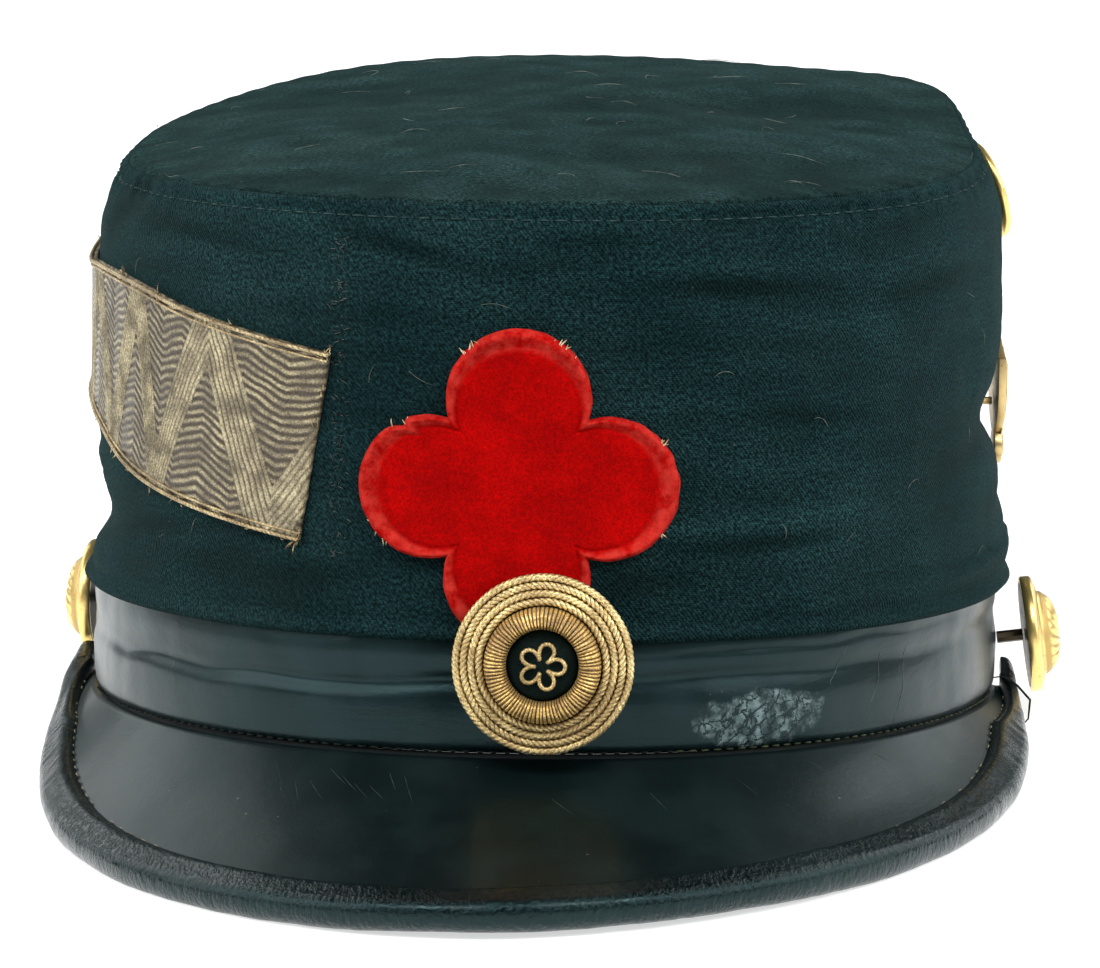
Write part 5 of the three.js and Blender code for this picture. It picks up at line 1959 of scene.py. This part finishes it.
    def build(self) -> None:
        """Makes and dresses the cockade's pieces."""
        place = self.place()
        cord = MetalThreadFinish("gilt_cord", (0.98, 0.78, 0.38), (0.55, 0.38, 0.16), (0.13, 0.075, 0.03))
        bullion = MetalThreadFinish(
            "gilt_bullion", (0.95, 0.67, 0.25), (0.45, 0.27, 0.1), (0.08, 0.045, 0.02)
        )
        wire = MetalThreadFinish("gilt_wire", (0.75, 0.56, 0.26), (0.42, 0.28, 0.11), (0.3, 0.2, 0.08))
        felt = VelvetFinish("cockade_felt", (0.01, 0.014, 0.012), (0.03, 0.035, 0.028))
        pile = VelvetFinish("dark_velvet", (0.006, 0.013, 0.012), (0.028, 0.042, 0.036))
        backing = moved(self.backing(), place)
        new_piece("cockade_backing", backing, felt.build(), ["cockade_back"])
        gilt = cord.build()
        for index in range(self.cords):
            radius = self.radius - self.cord / 2 - index * self.pitch
            turns = round(2 * math.pi * radius / 3.2) * (1 if index % 2 else -1)
            mesh = moved(tube_mesh([self.cord_path(index)], roped(0.72, 3, turns), 14, True), place)
            name = f"cockade_cord_{index + 1}"
            new_piece(f"twisted_cord_{index + 1}", mesh, gilt, [name])
        turns = spread(0, 2 * math.pi, self.strands * 8 + 1)
        ring = lofted(turns, self.ring_section, lambda u, _: self.strand(2 * math.pi * u))
        new_piece("bullion_ring", moved(ring, place), bullion.build(), ["cockade_ray_ring"])
        base = self.dish_height(0) + GAP
        top = base + 0.3 * self.ring
        cushion = [(6.1, top - 0.3), (5.4, top + 0.2), (4.2, top + 0.36), (0, top + 0.4)]
        disc = turned([(0, base), (6.1, base), *cushion])
        new_piece("velvet_disc", moved(disc, place), pile.build(), ["cockade_velvet_disc"])
        knot = tube_mesh([self.knot_path()], roped(0.42, 2, 40), 10, True)
        new_piece("wire_knot", moved(knot, place), wire.build(), ["cockade_knot"])


class Side(Enum):
    """The two sides of the shako, as its wearer has them."""

    LEFT = "left"
    RIGHT = "right"


@dataclass(frozen=True)
class ButtonSeat:
    """Where a side button sits: degrees from straight ahead, height, distance off the band and tilt."""

    angle: float
    height: float
    stand_off: float
    tilt: float


BUTTON_SEATS = {Side.LEFT: ButtonSeat(95, 8.4, 4.2, 7), Side.RIGHT: ButtonSeat(-102, 11.2, 3, 0)}


@dataclass
class SideButton:
    """A pressed button at one end of the peak: its shell; its back plate and shank stay as they are.

    Attributes:
        side: Which side it is on.
        radius: Outer radius.
        rim: Height of the rim.
        dome: Height of the dome.
        dome_radius: Radius of the dome.
        wall: Thickness of the metal.
        back: Thickness of the back plate.
        ribs: Number of curved ribs pressed into the dome.
        steps: Cells round the shell.
        dome_rows: Cells from the middle of the dome to its foot.
        rows: Cells of the whole section.
    """

    side: Side
    radius: float = 11
    rim: float = 1.5
    dome: float = 5
    dome_radius: float = 8.1
    wall: float = 0.8
    back: float = 0.9
    ribs: int = 18
    steps: int = 216
    dome_rows: int = 39
    rows: int = 55

    def rib(self, turn: float, distance: float) -> float:
        """How high the pressed ribs stand at a turn and a distance from the middle, 0 to 1."""
        swirl = turn + 0.09 * distance
        ribbed = abs(math.cos(self.ribs / 2 * swirl)) ** 0.8
        field = step(distance, 1.9, 2.7) * (1 - step(distance, 6.7, 7.5))
        return ribbed * field + bell(distance, 0, 1.5)

    def section(self, turn: float) -> list[Vector]:
        """The shell's section: from its crown over the stepped rim to its back, and inside."""
        lip = self.back + GAP
        top, crown = lip + self.rim, lip + self.dome
        outer = []
        for t in spread(0, 1, self.dome_rows + 1):
            distance = self.dome_radius * t
            height = top + (crown - top) * math.sqrt(max(1 - t**2.2, 0))
            outer.append((distance, height + 0.5 * self.rib(turn, distance) * (1 - t**6)))
        steps = (
            (8.15, 0), (8.5, -0.1), (8.75, 0.12), (9.25, 0.12), (9.45, -0.1), (9.8, -0.16), (10.35, -0.28)
        )
        rim = [(distance, top + up) for distance, up in steps]
        rim += [(10.8, top - 0.55), (self.radius, top - 0.95), (self.radius, 0.25), (self.radius - 0.25, 0)]
        inside = self.radius - self.wall
        hollow = [(inside, 0), (inside, top - 1.2), (7.2, top - 0.8), (4, crown - 1.7), (0, crown - 0.8)]
        return [Vector((d * math.cos(turn), d * math.sin(turn), h)) for d, h in [*outer, *rim, *hollow]]

    def build(self) -> None:
        """Makes and dresses the button."""
        where = BUTTON_SEATS[self.side]
        angle = math.radians(where.angle)
        outward = wall_normal(angle)
        rise = self.radius * math.sin(math.radians(where.tilt))
        spot = polar(angle, FORM.band_radius(angle, where.height / FORM.band_height), where.height)
        place = seat(spot + outward * (where.stand_off + rise), outward, where.tilt)

        def shading(u: float, v: float) -> float:
            """How high the pressed relief stands, for the material, at shares of the turn and section."""
            distance = self.dome_radius * min(v * self.rows / self.dome_rows, 1)
            return self.rib(2 * math.pi * u, distance) if v < 0.7 else 1

        shell = moved(lofted(spread(0, 2 * math.pi, self.steps + 1), self.section, shading), place)
        name = self.side.value
        brass = BrassFinish(f"button_brass_{name}", (0.83, 0.6, 0.22), (0.3, 0.19, 0.06), 0.3, 0.3, 0.6)
        new_piece(f"button_dome_{name}", shell, brass.build(), [f"button_shell_{name}"])


@dataclass
class SideBadges:
    """The two badges on the wearer's left, which the photograph shows edge-on.

    Attributes:
        disc_radius: Radius of the disc badge.
        disc_thickness: Its thickness.
        shield_width: Width of the shield badge.
        shield_height: Its height.
        shield_thickness: Its thickness.
        stand_off: How far each stays clear of the wall.
    """

    disc_radius: float = 9.6
    disc_thickness: float = 1
    shield_width: float = 15
    shield_height: float = 24
    shield_thickness: float = 1.4
    stand_off: float = 1

    def place(self, degrees: float, share: float, lean: float, half: tuple[float, float]) -> Matrix:
        """The frame of a badge, set clear of the fullest part of the wall under it.

        Args:
            degrees: Its angle from straight ahead.
            share: Its height as a share of the wall.
            lean: How far it leans back.
            half: Its half width and half height.

        Returns:
            The frame.
        """
        angle = math.radians(degrees)
        spot = FORM.on_wall(angle, share)
        frame = seat(spot, wall_normal(angle), lean)
        back = frame.inverted()
        bulge = 0.0
        for across in spread(-half[0], half[0], 9):
            for up in spread(-half[1], half[1], 9):
                turn = angle + across / (FORM.head_half_depth + FORM.band_thickness)
                near = min(FORM.wall_share(turn, spot.z + up * math.cos(math.radians(lean))), 1)
                bulge = max(bulge, (back @ FORM.on_wall(turn, near)).z)
        return frame @ Matrix.Translation((0, 0, bulge + self.stand_off))

    def disc(self) -> bmesh.types.BMesh:
        """The disc badge: a raised rim round a ring of pressed petals and a boss."""
        radius, thick = self.disc_radius, self.disc_thickness

        def section(turn: float) -> list[Vector]:
            """Its section at a turn."""
            rows = [(0, 0), (radius, 0), (radius, 1.3 * thick), (0.97 * radius, 1.5 * thick)]
            rows += [(0.93 * radius, 1.5 * thick), (0.9 * radius, 1.05 * thick)]
            for share in spread(0.86, 0, 20):
                petal = 0.35 * abs(math.cos(6 * turn)) * bell(share, 0.58, 0.2)
                boss = 0.35 * bell(share, 0, 0.2)
                rows.append((share * radius, thick * (1.1 + 0.7 * (1 - share)) + petal + boss))
            return [Vector((d * math.cos(turn), d * math.sin(turn), h)) for d, h in rows]

        return lofted(spread(0, 2 * math.pi, 145), section)

    def shield(self) -> bmesh.types.BMesh:
        """The shield badge: its outline cut from plate, its edges rounded and its field sunk."""
        half, tall = self.shield_width / 2, self.shield_height
        right = [Vector((across * half, up * tall, 0)) for across, up in SHIELD_OUTLINE]
        left = [Vector((-point.x, point.y, 0)) for point in reversed(right[1:-1])]
        mesh = bmesh.new()
        mesh.verts.layers.float.new("relief")
        face = mesh.faces.new([mesh.verts.new(point) for point in [*right, *left]])
        made = bmesh.ops.extrude_face_region(mesh, geom=[face])["geom"]
        lifted = [item for item in made if isinstance(item, bmesh.types.BMVert)]
        bmesh.ops.translate(mesh, vec=(0, 0, self.shield_thickness), verts=lifted)
        front = [item for item in made if isinstance(item, bmesh.types.BMFace)]
        for inset, lift in ((1, 0), (0.35, -0.45), (1.3, 0.1), (0.9, 0.5)):
            bmesh.ops.inset_region(mesh, faces=front, thickness=inset, depth=lift, use_even_offset=True)
        rims = [edge for edge in mesh.edges if edge.calc_face_angle(0) > 1]
        rounding = {"offset": 0.3, "segments": 3, "profile": 0.5, "material": -1, "clamp_overlap": True}
        bmesh.ops.bevel(mesh, geom=rims, affect="EDGES", **rounding)
        bmesh.ops.triangulate(mesh, faces=mesh.faces)
        return mesh

    def build(self) -> None:
        """Makes and dresses the badges."""
        gold = BrassFinish("disc_brass", (0.86, 0.62, 0.22), (0.34, 0.23, 0.09), 0.5, 0.3)
        dull = BrassFinish("shield_brass", (0.6, 0.44, 0.2), (0.2, 0.15, 0.08), 0.6, 0.36)
        disc_place = self.place(122, 0.8, 18, (self.disc_radius, self.disc_radius))
        shield_place = self.place(107, 0.38, 0, (self.shield_width / 2, self.shield_height / 2))
        disc = moved(self.disc(), disc_place)
        new_piece("disc_badge_face", disc, gold.build(), ["disc_badge"])
        shield = moved(self.shield(), shield_place)
        new_piece("shield_badge_face", shield, dull.build(), ["shield_badge"])


@dataclass
class Fittings:
    """The CAD nodes that keep their own shape and get a finish."""

    dark: tuple[str, ...] = tuple(
        f"button_{part}_{side.value}" for part in ("back", "shank") for side in Side
    )
    pins: tuple[str, ...] = ("disc_badge_pin", "shield_badge_pin")

    def build(self, nodes: dict[str, bpy.types.Object]) -> None:
        """Dresses the nodes.

        Args:
            nodes: The CAD nodes by name.
        """
        plate = BrassFinish("dark_plate", (0.07, 0.055, 0.035), (0.02, 0.02, 0.016), 0.6, 0.42).build()
        brass = BrassFinish("pin_brass", (0.55, 0.4, 0.17), (0.2, 0.14, 0.07), 0.5, 0.35).build()
        for names, material in ((self.dark, plate), (self.pins, brass)):
            for name in names:
                nodes[name].data.materials.clear()
                nodes[name].data.materials.append(material)
                log.info("%s: finished as it is", name)


@dataclass
class Studio:
    """The pale floor, the soft lights and the camera at the photograph's angle.

    Attributes:
        elevation: How far the camera looks down, in degrees.
        azimuth: How far it stands towards the wearer's left, in degrees.
        roll: How far it is turned about its own axis, in degrees.
        distance: Its distance from the middle of the shako, in metres.
        lens: Its focal length on a 36 mm sensor, in millimetres.
        middle: The middle of the shako, in the table's frame.
        aim: The point that it looks at.
        lights: Each pair of lights: its name, the place of its right one, its size and its watts, left
            and right.
        backdrop: The faint light from all sides: its colour.
        backdrop_strength: Its strength.
    """

    elevation: float = 12.59
    azimuth: float = 3.71
    roll: float = -1.62
    distance: float = 1.5
    lens: float = 263.4
    middle: Point = (0.00085, 0, 0.045)
    aim: Point = (0.00095, 0, 0.0515)
    lights: tuple[tuple[str, Point, tuple[float, float], tuple[float, float]], ...] = (
        ("light", (1.9, -0.6, 1.2), (2.2, 1.5), (34, 34)),
        ("front_light", (0.88, -1.41, 2.37), (0.9, 0.9), (32, 32)),
        ("rear_light", (1.46, 1.36, 1.15), (1.6, 1.5), (16, 18)),
    )
    backdrop: Point = (0.85, 1, 1)
    backdrop_strength: float = 0.12

    def floor(self) -> None:
        """The pale table top, which looks white and lights the shako little from below."""
        mesh = bmesh.new()
        bmesh.ops.create_circle(mesh, cap_ends=True, segments=64, radius=9)
        data = bpy.data.meshes.new("table_top")
        mesh.to_mesh(data)
        mesh.free()
        material, graph, shader = start_material("pale_table")
        mottle = graph.noise(object_vector(graph), 6, 4)
        rays = graph.add("LightPath").outputs
        glow = graph.mix(rays["Is Diffuse Ray"], (0.6, 0.6, 0.6, 1), (0, 0, 0, 1))
        wire(
            graph,
            shader,
            Base_Color=graph.mix(mottle, (0.6, 0.605, 0.6, 1), (0.64, 0.645, 0.64, 1)),
            Roughness=graph.ramp(mottle, 0, 1, 0.55, 0.65),
            Specular_IOR_Level=0.2,
            Emission_Color=graph.mix(rays["Is Glossy Ray"], glow, (1.1, 1.1, 1.1, 1)),
            Emission_Strength=1,
        )
        data.materials.append(material)
        table = bpy.data.objects.new("table_top", data)
        bpy.context.collection.objects.link(table)

    def light(self, name: str, place: Point, size: tuple[float, float], watts: float) -> None:
        """Adds a soft light that looks at the shako.

        Args:
            name: Its name.
            place: Where it stands, in metres.
            size: Its width and height.
            watts: Its power.
        """
        data = bpy.data.lights.new(name, "AREA")
        data.shape = "RECTANGLE"
        data.size, data.size_y = size
        data.energy = watts
        lamp = bpy.data.objects.new(name, data)
        lamp.location = place
        lamp.rotation_euler = (Vector(self.aim) - Vector(place)).to_track_quat("-Z", "Y").to_euler()
        bpy.context.collection.objects.link(lamp)

    def camera(self) -> None:
        """Sets up the camera."""
        data = bpy.data.cameras.new("camera")
        data.lens = self.lens
        data.sensor_width = 36
        up, turn = math.radians(self.elevation), math.radians(self.azimuth)
        way = Vector((math.sin(turn) * math.cos(up), -math.cos(turn) * math.cos(up), math.sin(up)))
        eye = Vector(self.middle) + way * self.distance
        look = (Vector(self.aim) - eye).to_track_quat("-Z", "Y").to_matrix().to_4x4()
        camera = bpy.data.objects.new("camera", data)
        roll = Matrix.Rotation(math.radians(self.roll), 4, "Z")
        camera.matrix_world = Matrix.Translation(eye) @ look @ roll
        bpy.context.collection.objects.link(camera)
        bpy.context.scene.camera = camera

    def build(self) -> None:
        """Sets up floor, lights and camera."""
        self.floor()
        for name, (x, y, z), size, (left, right) in self.lights:
            self.light(f"left_{name}", (-x, y, z), size, left)
            self.light(f"right_{name}", (x, y, z), size, right)
        world = bpy.data.worlds.new("studio")
        world.use_nodes = True
        background = world.node_tree.nodes["Background"]
        background.inputs["Color"].default_value = (*self.backdrop, 1)
        background.inputs["Strength"].default_value = self.backdrop_strength
        bpy.context.scene.world = world
        bpy.context.scene.view_settings.view_transform = "Standard"
        self.camera()


def main() -> None:
    """Builds the shako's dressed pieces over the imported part."""
    logging.basicConfig(level=logging.INFO, format="%(name)s: %(message)s")
    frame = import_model()
    Studio().build()
    Crown().build()
    HeadBand().build()
    Peak().build()
    FrontOrnament().build()
    SideLace().build()
    Cockade().build()
    for side in Side:
        SideButton(side).build()
    SideBadges().build()
    Fittings().build(frame["nodes"])


if __name__ == "__main__":
    main()
